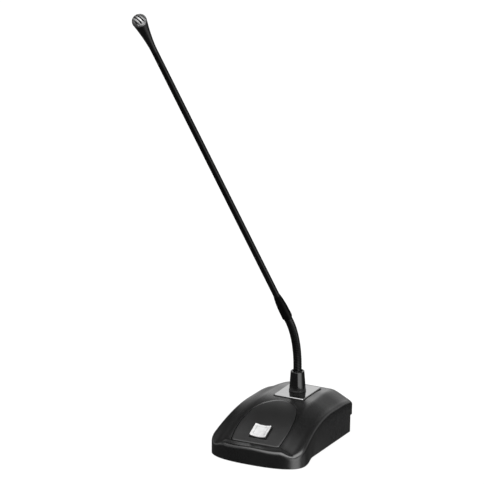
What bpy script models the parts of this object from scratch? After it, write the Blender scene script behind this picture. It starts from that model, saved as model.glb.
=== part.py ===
"""Gooseneck podium microphone: a wedge-shaped table base with a talk button, a ribbed flexible neck and a
long thin wand with a slotted head. Metres, +Z up, the user sits on the -Y side, and the origin lies on the
table, under the middle of the base."""
import math

import bmesh
import bpy
from mathutils import Vector

for old in list(bpy.data.objects):
    bpy.data.objects.remove(old, do_unlink=True)

MM = 0.001

# Clearances
GAP = 0.3 * MM            # between pieces that seat on each other
CAP_GAP = 0.5 * MM        # round the talk button in its well
CUT_PAST = 4 * MM         # how far a cutter runs past the wall that it cuts

# Edges sharper than these angles, in degrees, are shaded sharp
CREASE = 35
CAP_CREASE = 50
LINK_CREASE = 20

# Base housing: plan
FLANGE_HALF = 42.7 * MM   # half width of the flared front
FLANGE_Y = -38 * MM       # where the flare is widest
FRONT_RUN = 19.1 * MM     # from there to the front wall
FRONT_ROUND = 2.5         # exponent of the front's rounded plan
FOOT_HALF = 38.2 * MM     # half width of the side walls at the table
FOOT_RUN = 22 * MM        # length over which the flare runs into the side wall
RIM_HALF = 38.9 * MM      # half width of the top at the rear
RIM_RUN = 60 * MM         # length over which the top narrows
RIM_EASE = 1.8            # how fast it narrows
REAR_Y = 57 * MM          # rear lip
REAR_CORNER_R = 5 * MM    # plan radius of the lip's corners
REAR_WALL_Y = 50.5 * MM   # recessed rear wall
SPINE_END = 12 * MM       # from the lip to the end of the spine line

# Base housing: heights
FOOT_Z = 0.6 * MM         # lower edge of the housing
LEDGE_Z = 16 * MM         # top of the front wall
CREST_Z = 36.4 * MM       # top of the spine
RISE_START = -48.5 * MM   # where the spine starts to rise
RISE_END = 18 * MM        # where it is level
RISE_EASE = 0.58          # below 1 the rise is steep in front
FALL_START = 34 * MM      # where the spine starts to fall to the lip
REAR_FALL = 3 * MM        # how far it falls there
LIP_Z = 15.5 * MM         # underside of the rear lip
DROP = 3.7 * MM           # drop from spine to rim, at the front
DROP_REAR = 7.3 * MM
SHOULDER_IN = 25.5 * MM   # where the drop starts, at the front
SHOULDER_IN_REAR = 18 * MM
SHOULDER_OUT = 35.5 * MM  # where the drop ends, at the front
SHOULDER_OUT_REAR = 39 * MM
FRONT_SAG = 1.4 * MM      # how far the front edge falls from its middle to the shoulders
SAG_RUN = 10 * MM         # how far back that reaches
EDGE_R = 2.8 * MM         # rounding of the rim
WALL = 3 * MM             # side walls
ROOF = 3.2 * MM           # top wall, measured straight down

# Control panel, a D-shaped insert
PANEL_HALF = 23.6 * MM
PANEL_WIDE_Y = -36 * MM   # where it is widest
PANEL_RUN = 43.5 * MM     # from there to its round end
PANEL_ROUND = 2.2         # exponent of the round end
PANEL_FRONT_Y = -47.8 * MM
PANEL_FRONT_HALF = 22.6 * MM
PANEL_CORNER_R = 3 * MM
PANEL_T = 1.9 * MM        # thickness, measured straight down
PANEL_SPINE = 0.75        # share of the round end that the panel's centre line runs into

# Talk button and what it works, along the button's own axis from the panel's surface
BUTTON_Y = -36 * MM
BUTTON = (14.6 * MM, 13.2 * MM)  # sides of the cap
BUTTON_RISE = 3 * MM      # its corners above the panel
BUTTON_DISH = 1.5 * MM    # depth of the dish in its top
BUTTON_CROWN = 1.2 * MM   # thickness under the dish
BUTTON_WALL = 1.2 * MM
BUTTON_SKIRT = 3 * MM     # skirt below the panel's surface
BUTTON_TRAVEL = 1.2 * MM
GUIDE = 9.6 * MM          # side of the square light guide
GUIDE_T = 3.5 * MM
PLUNGER_R = 1.75 * MM
PLUNGER_LEN = 3.2 * MM
SWITCH = 6 * MM           # side of the square switch body
SWITCH_FLOOR = 0.7 * MM   # under the plunger's bore
SWITCH_SHOW = 1.4 * MM    # plunger that stands out of the switch
LED = 2.4 * MM
LED_H = 1.9 * MM
LED_X = 5 * MM
BOARD = (28 * MM, 20 * MM, 1.6 * MM)
BOARD_POST_X = 11.5 * MM
BOARD_POST_R = 2.4 * MM
HEADER = (7 * MM, 4 * MM, 5 * MM)
HEADER_T = 6 * MM         # along the board, up the slope
LEAD_SWING = 16 * MM      # how far the lead runs in line with the header
SCREW_R = 1.5 * MM
SCREW_HEAD_R = 2.6 * MM
SCREW_HEAD_H = 1.2 * MM
SCREW_LEN = 4.5 * MM      # shank

# Underside
PAD_T = 1.5 * MM
PAD_INSET = 1 * MM        # pad inside the bottom plate's edge
PLATE_T = 2 * MM
POST_R = 3.2 * MM         # posts for the bottom screws
POST_EDGE = 11.2 * MM     # from the side of the base to a post's axis
POST_FRONT = 2 * MM       # front posts behind the flange
POST_REAR = 13.5 * MM     # rear posts before the rear wall
POST_SPOTS = ((FLANGE_HALF - POST_EDGE, FLANGE_Y + POST_FRONT),
              (FOOT_HALF - POST_EDGE, REAR_WALL_Y - POST_REAR))
POST_BITE = 1.2 * MM      # how far a post runs into the roof
BALLAST_GAP = 0.8 * MM    # between the ballast and the posts
BALLAST = (2 * (FOOT_HALF - POST_EDGE - POST_R - BALLAST_GAP), 42 * MM, 11 * MM)
BALLAST_Y = 20 * MM

# Rear outlet
GLAND_R = 3.6 * MM
GLAND_COLLAR_R = 5 * MM
GLAND_COLLAR_T = 1.6 * MM
GLAND_BORE_R = 2.4 * MM
GLAND_NUT_R = 5.4 * MM
GLAND_NUT_T = 3 * MM

# Plate, stud and boot under the neck
MOUNT_Y = 29.7 * MM
MOUNT_PLATE = (27.4 * MM, 32.7 * MM)
MOUNT_PLATE_T = 1.7 * MM
MOUNT_PROUD = 0.9 * MM    # its top above the crest of the spine
MOUNT_CORNER = 1.2 * MM
MOUNT_GAP = 0.6 * MM      # open joint round the plate
STUD_R = 4 * MM
STUD_BORE_R = 2 * MM
STUD_FLANGE_R = 5.2 * MM
STUD_FLANGE_T = 0.9 * MM
STUD_TAIL = 12 * MM       # stud below the crest of the spine
WASHER_R = 7.5 * MM
WASHER_T = 1 * MM
NUT_R = 7.2 * MM
NUT_CORNERS = 6
NUT_T = 4 * MM
BOOT_H = 17.4 * MM        # foot ring and boot together
BOOT_TOP_R = 5.75 * MM
BOOT_BEAD_R = 7.1 * MM
BOOT_BEAD_H = 1.4 * MM
BOOT_LIP = 0.5 * MM       # bevel of the boot's upper edge
BOOT_RING_R = 6.2 * MM    # ring inside the boot's foot
BOOT_RING_H = 1.2 * MM
NOTCH = (3.7 * MM, 0.8 * MM)
NOTCH_TURN = math.radians(40)

# Flexible neck
NECK_R = 3.5 * MM         # over the ribs
GROOVE_R = 3.05 * MM      # between the ribs
END_R = 2.9 * MM          # at a link's two ends
NECK_BORE_R = 1.9 * MM
NECK_RISE = 4.4 * MM      # straight stretch above the boot
BEND_R = 73 * MM          # radius of the bend
LEAN = math.radians(37.6)
NECK_RUN = 4.3 * MM       # straight stretch below the sleeve
JOINTS = 8
RIBS = 3                  # ribs of one link
ROOT_RIBS = 6
TIP_RIBS = 5
JOINT_GAP = 0.8 * MM      # between two links
NECK_SIDES = 12

# Wand: sleeve, rod and head
SLEEVE_LEN = 31.4 * MM
SLEEVE_RISE = 1.8 * MM    # bare neck between the bend's end and the sleeve
SLEEVE_R = 4.3 * MM
SLEEVE_END_R = 2.75 * MM  # where its curve meets the rod
SLEEVE_TOP_R = 3.3 * MM   # least radius, which leaves a wall round the rod
SLEEVE_EASE = 2.8         # exponent of its curve
ROD_R = 2.68 * MM
ROD_BORE_R = 2.2 * MM
ROD_FREE = 355.1 * MM     # from the sleeve to the head
LEAD_R = 1.15 * MM
HEAD_LEN = 42 * MM
HEAD_R = 6.2 * MM
HEAD_EASE = 1.7           # exponent of the flare
SPIGOT_LEN = 10 * MM
CAPSULE_BORE_R = 4.6 * MM
CAPSULE_DEPTH = 9 * MM    # of the bore for the capsule
CAPSULE_H = 5 * MM
CAPSULE_RING_T = 0.9 * MM
CAPSULE_RING_BORE_R = 2.6 * MM
GRILLE_H = 5.4 * MM       # height of the dome
GRILLE_T = 0.8 * MM
GRILLE_RIM = 1.1 * MM     # plain rim below the slots
GRILLE_SKIRT = 2 * MM
SLOTS = 4
SLOT_PITCH = 2.5 * MM
SLOT_W = 1.25 * MM
SLOT_END = 1 * MM         # bar left at a slot's ends
SLOT_TURN = math.radians(-33)

# Places worked out from the sizes above
PLATE_Z = PAD_T + GAP
POST_Z = PLATE_Z + PLATE_T + GAP
CAVITY_Y = REAR_WALL_Y - WALL
GLAND_Z = (POST_Z + LIP_Z) / 2
MOUNT_Z = CREST_Z + MOUNT_PROUD
BOOT_Z = MOUNT_Z + GAP
BOOT_TOP_Z = BOOT_Z + BOOT_H
NECK_LEN = NECK_RISE + BEND_R * LEAN + NECK_RUN
LINK = NECK_LEN / JOINTS
PITCH = LINK / RIBS


def material(name, color, roughness, metallic=0.0):
    made = bpy.data.materials.new(name)
    made.use_nodes = True
    shader = made.node_tree.nodes["Principled BSDF"]
    shader.inputs["Base Color"].default_value = (*color, 1)
    shader.inputs["Roughness"].default_value = roughness
    shader.inputs["Metallic"].default_value = metallic
    return made


CAST_BLACK = material("cast_black", (0.018, 0.018, 0.019), 0.42)
PANEL_BLACK = material("panel_black", (0.014, 0.014, 0.015), 0.5)
SATIN_BLACK = material("satin_black", (0.012, 0.012, 0.013), 0.35)
RUBBER_BLACK = material("rubber_black", (0.015, 0.015, 0.015), 0.6)
CLEAR_WHITE = material("clear_white", (0.9, 0.91, 0.92), 0.12)
POLISHED = material("polished_metal", (0.78, 0.78, 0.78), 0.12, 1.0)
STEEL = material("steel", (0.55, 0.56, 0.57), 0.4, 1.0)
BRASS = material("nickel_brass", (0.72, 0.68, 0.6), 0.3, 1.0)
BOARD_GREEN = material("board_green", (0.02, 0.13, 0.06), 0.5)
FOAM_BLACK = material("foam_black", (0.01, 0.01, 0.01), 0.95)
GRILLE_GREY = material("grille_grey", (0.2, 0.2, 0.21), 0.35, 1.0)


def put(name, shape, finish, parent=None, sharp=CREASE):
    """Turn a bmesh into a named object with its finish, in its parent's frame."""
    bmesh.ops.remove_doubles(shape, verts=shape.verts, dist=0.001 * MM)
    bmesh.ops.dissolve_degenerate(shape, edges=shape.edges, dist=0.001 * MM)
    bmesh.ops.recalc_face_normals(shape, faces=shape.faces)
    mesh = bpy.data.meshes.new(name)
    shape.to_mesh(mesh)
    shape.free()
    mesh.shade_smooth()
    mesh.set_sharp_from_angle(angle=math.radians(sharp))
    made = bpy.data.objects.new(name, mesh)
    if finish:
        mesh.materials.append(finish)
    made.parent = parent
    bpy.context.scene.collection.objects.link(made)
    return made


def axis_frame(name, place, turn):
    """An empty on a joint's axis: its own Z is the vertical, tipped towards the user by turn."""
    made = bpy.data.objects.new(name, None)
    made.location = place
    made.rotation_euler.x = turn
    bpy.context.scene.collection.objects.link(made)
    return made


def combine(target, other, operation="DIFFERENCE"):
    """Cut a helper out of an object, or join it to the object."""
    other.hide_render = True
    other.display_type = "WIRE"
    step = target.modifiers.new(other.name, "BOOLEAN")
    step.operation = operation
    step.solver = "EXACT"
    step.object = other


def loft(rings):
    """Skin rings of equal count, first to last. An end ring that lies on one line or point closes itself."""
    shape = bmesh.new()
    rows = [[shape.verts.new(point) for point in ring] for ring in rings]
    count = len(rows[0])
    for low, high in zip(rows, rows[1:]):
        for i in range(count):
            shape.faces.new((low[i], low[(i + 1) % count], high[(i + 1) % count], high[i]))
    return shape


def turned(profile, sides=32):
    """Spin a closed outline of (radius, height) points round the Z axis."""
    rings = []
    for i in range(sides):
        turn = 2 * math.pi * i / sides
        rings.append([(r * math.cos(turn), r * math.sin(turn), z) for r, z in profile])
    return loft(rings + rings[:1])


def tube(outer, inner, low, high):
    return [(inner, low), (outer, low), (outer, high), (inner, high)]


def rod(radius, low, high):
    return tube(radius, 0.0, low, high)


def prism(radius, low, high):
    return turned(rod(radius, low, high), NUT_CORNERS)


def block(size, low_centre):
    """A box of this size that stands on the point low_centre."""
    shape = bmesh.new()
    bmesh.ops.create_cube(shape, size=1)
    bmesh.ops.scale(shape, vec=size, verts=shape.verts)
    bmesh.ops.translate(shape, vec=Vector(low_centre) + Vector((0, 0, size[2] / 2)), verts=shape.verts)
    return shape


def moved(shape, place):
    bmesh.ops.translate(shape, vec=place, verts=shape.verts)
    return shape


def rounded(shape, width, upright=False):
    """Bevel a block's edges, or only its upright ones."""
    edges = shape.edges
    if upright:
        edges = [e for e in edges if abs(e.verts[0].co.z - e.verts[1].co.z) > width]
    bmesh.ops.bevel(shape, geom=list(edges), offset=width, segments=2, profile=0.5, affect="EDGES")
    return shape


# Surfaces of the base
def smooth(t):
    t = min(max(t, 0.0), 1.0)
    return t * t * (3 - 2 * t)


def spine_height(y):
    rise = min(max((y - RISE_START) / (RISE_END - RISE_START), 0.0), 1.0)
    fall = max((y - FALL_START) / (REAR_Y - FALL_START), 0.0)
    return LEDGE_Z + (CREST_Z - LEDGE_Z) * smooth(rise ** RISE_EASE) - REAR_FALL * fall * fall


def base_top(x, y):
    """Height of the base's top: the spine, less the drop over its shoulders to the rim."""
    back = (y - FLANGE_Y + FRONT_RUN) / (REAR_Y - FLANGE_Y + FRONT_RUN)
    inner = SHOULDER_IN + (SHOULDER_IN_REAR - SHOULDER_IN) * back
    outer = SHOULDER_OUT + (SHOULDER_OUT_REAR - SHOULDER_OUT) * back
    drop = DROP + (DROP_REAR - DROP) * back
    sag = FRONT_SAG * (1 - smooth((y - FLANGE_Y + FRONT_RUN) / SAG_RUN))
    fall = sag * smooth(abs(x) / inner) + (drop - sag) * smooth((abs(x) - inner) / (outer - inner))
    return spine_height(y) - fall


def side_half(y, rim):
    """Half width of the base at y, at the rim of its top or at its foot."""
    if rim:
        return RIM_HALF + (FLANGE_HALF - RIM_HALF) * max(1 - (y - FLANGE_Y) / RIM_RUN, 0.0) ** RIM_EASE
    return FOOT_HALF + (FLANGE_HALF - FOOT_HALF) * (1 - smooth((y - FLANGE_Y) / FOOT_RUN))


def both_sides(half):
    """Close a half outline, which runs from the centre line to the centre line, with its mirror image."""
    return half + [(-x, y) for x, y in reversed(half[1:-1])]


def base_outline(rim, inset=0.0, rear=REAR_Y, front_steps=10, side_steps=11, corner_steps=3, rear_steps=4):
    """Plan of the base from the front centre, by the right side, to the rear and back."""
    power = 2 / FRONT_ROUND
    half = []
    for i in range(front_steps + 1):
        turn = math.pi / 2 * i / front_steps
        x = (FLANGE_HALF - inset) * math.sin(turn) ** power
        half.append((x, FLANGE_Y - (FRONT_RUN - inset) * max(math.cos(turn), 0.0) ** power))
    side_end = rear - inset - REAR_CORNER_R
    for i in range(1, side_steps + 1):
        y = FLANGE_Y + (side_end - FLANGE_Y) * i / side_steps
        half.append((side_half(y, rim) - inset, y))
    corner_x = side_half(rear, rim) - inset - REAR_CORNER_R
    for i in range(1, corner_steps + 1):
        turn = math.pi / 2 * i / corner_steps
        half.append((corner_x + REAR_CORNER_R * math.cos(turn), side_end + REAR_CORNER_R * math.sin(turn)))
    for i in range(1, rear_steps + 1):
        half.append((corner_x * (1 - i / rear_steps), rear - inset))
    return both_sides(half)


def drawn_in(outline, share, first_y, last_y):
    """The outline shrunk to a share of itself towards the centre line between first_y and last_y."""
    ring = []
    for x, y in outline:
        y_line = min(max(y, first_y), last_y)
        ring.append((x * share, y_line + (y - y_line) * share))
    return ring


def on_top(outline, below=0.0):
    return [(x, y, base_top(x, y) - below) for x, y in outline]


def at_height(outline, z):
    return [(x, y, z) for x, y in outline]


def base_ring(outline, share, rear, below=0.0):
    return on_top(drawn_in(outline, share, FLANGE_Y, rear - SPINE_END), below)


def panel_outline(inset=0.0, round_steps=9, side_steps=3, corner_steps=3, front_steps=3):
    """Plan of the D-shaped panel, from its round end by the right side to the front."""
    half = []
    for i in range(round_steps + 1):
        turn = math.pi / 2 * i / round_steps
        reach = max(math.cos(turn), 0.0) ** (2 / PANEL_ROUND)
        half.append(((PANEL_HALF - inset) * math.sin(turn), PANEL_WIDE_Y + (PANEL_RUN - inset) * reach))
    radius = PANEL_CORNER_R - inset
    corner = (PANEL_FRONT_HALF - PANEL_CORNER_R, PANEL_FRONT_Y + PANEL_CORNER_R)
    start = half[-1]
    for i in range(1, side_steps + 1):
        share = i / side_steps
        half.append((start[0] + (corner[0] + radius - start[0]) * share,
                     start[1] + (corner[1] - start[1]) * share))
    for i in range(1, corner_steps + 1):
        turn = math.pi / 2 * i / corner_steps
        half.append((corner[0] + radius * math.cos(turn), corner[1] - radius * math.sin(turn)))
    for i in range(1, front_steps + 1):
        half.append((corner[0] * (1 - i / front_steps), corner[1] - radius))
    return both_sides(half)


def panel_slab(inset, above, below):
    """A D-shaped slab that follows the base's top, from above it to below it."""
    outline = panel_outline(inset)
    last_y = PANEL_WIDE_Y + PANEL_RUN * PANEL_SPINE
    rings = []
    for side, shares in ((below, (0, 0.35, 0.7, 1)), (-above, (1, 0.7, 0.35, 0))):
        for share in shares:
            rings.append(on_top(drawn_in(outline, share, PANEL_WIDE_Y, last_y), side))
    return loft(rings)


# Button frame: on the panel's surface, with Z along the button's travel
slope_step = 0.5 * MM
slope_rise = spine_height(BUTTON_Y + slope_step) - spine_height(BUTTON_Y - slope_step)
BUTTON_TILT = math.atan2(slope_rise, 2 * slope_step)
button_place = (0, BUTTON_Y, spine_height(BUTTON_Y))
button_axis = axis_frame("button_axis", button_place, BUTTON_TILT)
board_axis = axis_frame("board_axis", button_place, BUTTON_TILT)

WELL = [side + 2 * CAP_GAP for side in BUTTON]
GUIDE_TOP = BUTTON_RISE - BUTTON_DISH - BUTTON_CROWN - GAP
PLUNGER_TOP = GUIDE_TOP - GUIDE_T - GAP
SWITCH_TOP = PLUNGER_TOP - SWITCH_SHOW
SWITCH_BORE = PLUNGER_TOP - PLUNGER_LEN - BUTTON_TRAVEL - GAP
BOARD_TOP = SWITCH_BORE - SWITCH_FLOOR - GAP
ROOF_UNDER = ROOF * math.cos(BUTTON_TILT)
SEAT_UNDER = (PANEL_T + GAP) * math.cos(BUTTON_TILT)


# Base housing
def base_housing():
    rim = base_outline(True, EDGE_R)
    cave = base_outline(True, WALL, CAVITY_Y + WALL)
    top_shares = (0.96, 0.9, 0.84, 0.78, 0.72, 0.64, 0.5, 0.28, 0)
    rings = [base_ring(cave, share, CAVITY_Y, ROOF) for share in (0, 0.4, 0.66, 0.84, 1)]
    rings.append(at_height(base_outline(False, WALL, CAVITY_Y + WALL), FOOT_Z))
    rings.append(at_height(base_outline(False), FOOT_Z))
    rings.append(on_top(base_outline(True), EDGE_R))
    rings.append(on_top(base_outline(True, 0.3 * EDGE_R), 0.3 * EDGE_R))
    rings.append(on_top(rim))
    rings += [base_ring(rim, share, REAR_Y) for share in top_shares]
    housing = put("base_housing", loft(rings), CAST_BLACK)

    recess_size = (4 * FLANGE_HALF, REAR_Y - REAR_WALL_Y + CUT_PAST, LIP_Z + CUT_PAST)
    recess_place = (0, REAR_WALL_Y + recess_size[1] / 2, -CUT_PAST)
    combine(housing, put("rear_recess", block(recess_size, recess_place), None))
    combine(housing, put("panel_recess", panel_slab(0, CUT_PAST, PANEL_T + GAP), None))
    seat_z = MOUNT_Z - MOUNT_PLATE_T - GAP
    seat_size = (MOUNT_PLATE[0] + 2 * MOUNT_GAP, MOUNT_PLATE[1] + 2 * MOUNT_GAP, CUT_PAST + MOUNT_PLATE_T)
    seat = rounded(block(seat_size, (0, MOUNT_Y, seat_z)), MOUNT_CORNER, True)
    combine(housing, put("plate_recess", seat, None))

    for side in (-1, 1):
        for x, y in POST_SPOTS:
            ring = [(side * x + POST_R * math.cos(a), y + POST_R * math.sin(a))
                    for a in (math.pi * i / 8 for i in range(16))]
            middle = [(side * x, y)] * len(ring)
            post = loft([at_height(middle, POST_Z), at_height(ring, POST_Z), on_top(ring, ROOF - POST_BITE),
                         on_top(middle, ROOF - POST_BITE)])
            combine(housing, put("screw_post", post, None), "UNION")
            bore_top = PLATE_Z + SCREW_HEAD_H + SCREW_LEN + 2 * GAP
            bore = turned(rod(SCREW_R + GAP, POST_Z - CUT_PAST, bore_top), 12)
            combine(housing, put("screw_bore", moved(bore, (side * x, y, 0)), None))
        post = turned(rod(BOARD_POST_R, BOARD_TOP + GAP, -(SEAT_UNDER + ROOF_UNDER) / 2), 16)
        post = put("board_post", moved(post, (side * BOARD_POST_X, 0, 0)), None, board_axis)
        combine(housing, post, "UNION")
        bore_top = BOARD_TOP - BOARD[2] + SCREW_LEN + GAP
        bore = turned(rod(SCREW_R + GAP, BOARD_TOP - CUT_PAST, bore_top), 12)
        combine(housing, put("board_bore", moved(bore, (side * BOARD_POST_X, 0, 0)), None, board_axis))

    well_size = (*WELL, 2 * (ROOF_UNDER + CUT_PAST))
    combine(housing, put("button_well", block(well_size, (0, 0, -ROOF_UNDER - CUT_PAST)), None, button_axis))
    stud_hole = turned(rod(STUD_R + GAP, CREST_Z - ROOF - CUT_PAST, MOUNT_Z), 32)
    combine(housing, put("stud_hole", moved(stud_hole, (0, MOUNT_Y, 0)), None))
    hole = put("gland_hole", turned(rod(GLAND_R + GAP, -CUT_PAST, WALL + CUT_PAST), 24), None, gland_axis)
    combine(housing, hole)
    return housing


gland_axis = axis_frame("gland_axis", (0, CAVITY_Y, GLAND_Z), -math.pi / 2)
base_housing()


# Underside
def bottom_plate():
    outline = base_outline(False, WALL + GAP, CAVITY_Y + WALL)
    top = PLATE_Z + PLATE_T
    shape = loft([at_height(drawn_in(outline, share, FLANGE_Y, CAVITY_Y - SPINE_END), z)
                  for share, z in ((0, PLATE_Z), (1, PLATE_Z), (1, top), (0, top))])
    plate = put("bottom_plate", shape, STEEL)
    head_top = PLATE_Z + SCREW_HEAD_H + GAP
    bore = [(0, PLATE_Z - CUT_PAST), (SCREW_HEAD_R + GAP, PLATE_Z - CUT_PAST), (SCREW_HEAD_R + GAP, head_top),
            (SCREW_R + GAP, head_top), (SCREW_R + GAP, POST_Z + CUT_PAST), (0, POST_Z + CUT_PAST)]
    number = 0
    for side in (-1, 1):
        for x, y in POST_SPOTS:
            number += 1
            combine(plate, put("screw_sink", moved(turned(bore, 24), (side * x, y, 0)), None))
            screw = [(0, PLATE_Z), (SCREW_HEAD_R, PLATE_Z), (SCREW_HEAD_R, PLATE_Z + SCREW_HEAD_H),
                     (SCREW_R, PLATE_Z + SCREW_HEAD_H), (SCREW_R, PLATE_Z + SCREW_HEAD_H + SCREW_LEN),
                     (0, PLATE_Z + SCREW_HEAD_H + SCREW_LEN)]
            put(f"bottom_screw_{number}", moved(turned(screw, 16), (side * x, y, 0)), STEEL)


def rubber_pad():
    outline = base_outline(False, WALL + GAP + PAD_INSET, CAVITY_Y + WALL)
    shape = loft([at_height(drawn_in(outline, share, FLANGE_Y, CAVITY_Y - SPINE_END), z)
                  for share, z in ((0, 0), (1, 0), (1, PAD_T), (0, PAD_T))])
    put("rubber_pad", shape, RUBBER_BLACK)


bottom_plate()
rubber_pad()
put("ballast_weight", rounded(block(BALLAST, (0, BALLAST_Y, POST_Z)), EDGE_R), STEEL)

# Rear outlet: its axis points out of the rear wall
gland = [(GLAND_BORE_R, -GLAND_NUT_T - 2 * GAP), (GLAND_R, -GLAND_NUT_T - 2 * GAP), (GLAND_R, WALL + GAP),
         (GLAND_COLLAR_R, WALL + GAP), (GLAND_COLLAR_R, WALL + GAP + GLAND_COLLAR_T),
         (GLAND_BORE_R, WALL + GAP + GLAND_COLLAR_T)]
put("cable_gland", turned(gland, 24), SATIN_BLACK, gland_axis)
gland_nut = put("gland_nut", prism(GLAND_NUT_R, -GLAND_NUT_T - GAP, -GAP), BRASS, gland_axis)
nut_bore = turned(rod(GLAND_R + GAP, -GLAND_NUT_T - CUT_PAST, CUT_PAST), 24)
combine(gland_nut, put("gland_nut_bore", nut_bore, None, gland_axis))

# Control panel
panel = put("control_panel", panel_slab(GAP, 0, PANEL_T), PANEL_BLACK)
panel_hole = block((*WELL, 4 * PANEL_T), (0, 0, -2 * PANEL_T))
combine(panel, put("panel_hole", panel_hole, None, button_axis))


# Talk button: a hollow cap whose top is dished from side to side
def talk_button(steps=10):
    half = BUTTON[0] / 2
    top = []
    for i in range(steps + 1):
        x = -half + BUTTON[0] * i / steps
        top.append((x, BUTTON_RISE - BUTTON_DISH * (1 - (x / half) ** 2)))
    section = [(-half, -BUTTON_SKIRT)] + top + [(half, -BUTTON_SKIRT)]
    shape = bmesh.new()
    front = shape.faces.new([shape.verts.new((x, -BUTTON[1] / 2, z)) for x, z in section])
    grown = bmesh.ops.extrude_face_region(shape, geom=[front])
    far = [v for v in grown["geom"] if isinstance(v, bmesh.types.BMVert)]
    bmesh.ops.translate(shape, vec=(0, BUTTON[1], 0), verts=far)
    cap = put("talk_button", shape, CLEAR_WHITE, button_axis, CAP_CREASE)
    inside = [side - 2 * BUTTON_WALL for side in BUTTON]
    hollow_low = -BUTTON_SKIRT - CUT_PAST
    hollow = block((*inside, GUIDE_TOP + GAP - hollow_low), (0, 0, hollow_low))
    combine(cap, put("cap_hollow", hollow, None, button_axis))


talk_button()
put("light_guide", block((GUIDE, GUIDE, GUIDE_T), (0, 0, GUIDE_TOP - GUIDE_T)), CLEAR_WHITE, button_axis)
plunger = turned(rod(PLUNGER_R, PLUNGER_TOP - PLUNGER_LEN, PLUNGER_TOP), 20)
put("switch_plunger", plunger, SATIN_BLACK, button_axis)

# Switch board and what stands on it, parallel to the panel
switch_size = (SWITCH, SWITCH, SWITCH_TOP - BOARD_TOP - GAP)
switch = put("switch_body", block(switch_size, (0, 0, BOARD_TOP + GAP)), SATIN_BLACK, board_axis)
switch_bore = turned(rod(PLUNGER_R + GAP, SWITCH_BORE, SWITCH_TOP + CUT_PAST), 20)
combine(switch, put("switch_bore", switch_bore, None, board_axis))
board = put("switch_board", block(BOARD, (0, 0, BOARD_TOP - BOARD[2])), BOARD_GREEN, board_axis)
for number, side in ((1, -1), (2, 1)):
    hole = turned(rod(SCREW_R + GAP, BOARD_TOP - BOARD[2] - CUT_PAST, BOARD_TOP + CUT_PAST), 16)
    combine(board, put("board_hole", moved(hole, (side * BOARD_POST_X, 0, 0)), None, board_axis))
    head_top = BOARD_TOP - BOARD[2] - GAP
    screw = [(0, head_top - SCREW_HEAD_H), (SCREW_HEAD_R, head_top - SCREW_HEAD_H), (SCREW_HEAD_R, head_top),
             (SCREW_R, head_top), (SCREW_R, head_top + SCREW_LEN), (0, head_top + SCREW_LEN)]
    screw = moved(turned(screw, 16), (side * BOARD_POST_X, 0, 0))
    put(f"board_screw_{number}", screw, STEEL, board_axis)
    led = block((LED, LED, LED_H), (side * LED_X, 0, BOARD_TOP + GAP))
    put(f"status_led_{number}", led, CLEAR_WHITE, board_axis)
header_low = BOARD_TOP - BOARD[2] - GAP - HEADER[2]
put("board_header", block(HEADER, (0, HEADER_T, header_low)), CLEAR_WHITE, board_axis)

# Mount plate, stud and boot
mount_axis = axis_frame("mount_axis", (0, MOUNT_Y, 0), 0)
plate_size = (*MOUNT_PLATE, MOUNT_PLATE_T)
mount = rounded(block(plate_size, (0, 0, MOUNT_Z - MOUNT_PLATE_T)), MOUNT_CORNER, True)
mount = put("mount_plate", mount, POLISHED, mount_axis)
mount_hole = turned(rod(STUD_R + GAP, MOUNT_Z - CUT_PAST, MOUNT_Z + CUT_PAST), 32)
combine(mount, put("mount_hole", mount_hole, None, mount_axis))

ROOT_Z = BOOT_TOP_Z + LINK / 2 - ROOT_RIBS * PITCH
STUD_TOP = ROOT_Z - GAP
stud = [(STUD_BORE_R, CREST_Z - STUD_TAIL), (STUD_R, CREST_Z - STUD_TAIL), (STUD_R, BOOT_Z),
        (STUD_FLANGE_R, BOOT_Z), (STUD_FLANGE_R, BOOT_Z + STUD_FLANGE_T), (STUD_R, BOOT_Z + STUD_FLANGE_T),
        (STUD_R, STUD_TOP), (STUD_BORE_R, STUD_TOP)]
put("neck_stud", turned(stud), BRASS, mount_axis)
washer_top = CREST_Z - ROOF - GAP
washer = tube(WASHER_R, STUD_R + GAP, washer_top - WASHER_T, washer_top)
put("stud_washer", turned(washer), STEEL, mount_axis)
nut_top = washer_top - WASHER_T - GAP
nut = put("stud_nut", prism(NUT_R, nut_top - NUT_T, nut_top), STEEL, mount_axis)
nut_bore = turned(rod(STUD_R + GAP, nut_top - NUT_T - CUT_PAST, nut_top + CUT_PAST), 32)
combine(nut, put("stud_nut_bore", nut_bore, None, mount_axis))

ring = put("boot_ring", turned(tube(BOOT_RING_R, STUD_FLANGE_R + GAP, BOOT_Z, BOOT_Z + BOOT_RING_H), 40),
           SATIN_BLACK, mount_axis)
notch = block((NOTCH[0], 2 * BOOT_RING_R, NOTCH[1] + CUT_PAST), (0, -BOOT_RING_R, BOOT_Z - CUT_PAST))
notch = put("ring_notch", notch, None, mount_axis)
notch.rotation_euler.z = NOTCH_TURN
combine(ring, notch)
bead_z = BOOT_Z + BOOT_RING_H + GAP
BOOT_BORE_R = STUD_R + GAP
boot = [(BOOT_BORE_R, bead_z), (BOOT_RING_R + GAP, bead_z), (BOOT_RING_R + GAP, BOOT_Z),
        (BOOT_BEAD_R - GAP, BOOT_Z), (BOOT_BEAD_R, BOOT_Z + 0.4 * BOOT_BEAD_H),
        (BOOT_BEAD_R, BOOT_Z + BOOT_BEAD_H), (BOOT_TOP_R, BOOT_TOP_Z - BOOT_LIP),
        (BOOT_TOP_R - BOOT_LIP, BOOT_TOP_Z), (BOOT_BORE_R, BOOT_TOP_Z)]
put("boot", turned(boot, 40), SATIN_BLACK, mount_axis)


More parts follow.
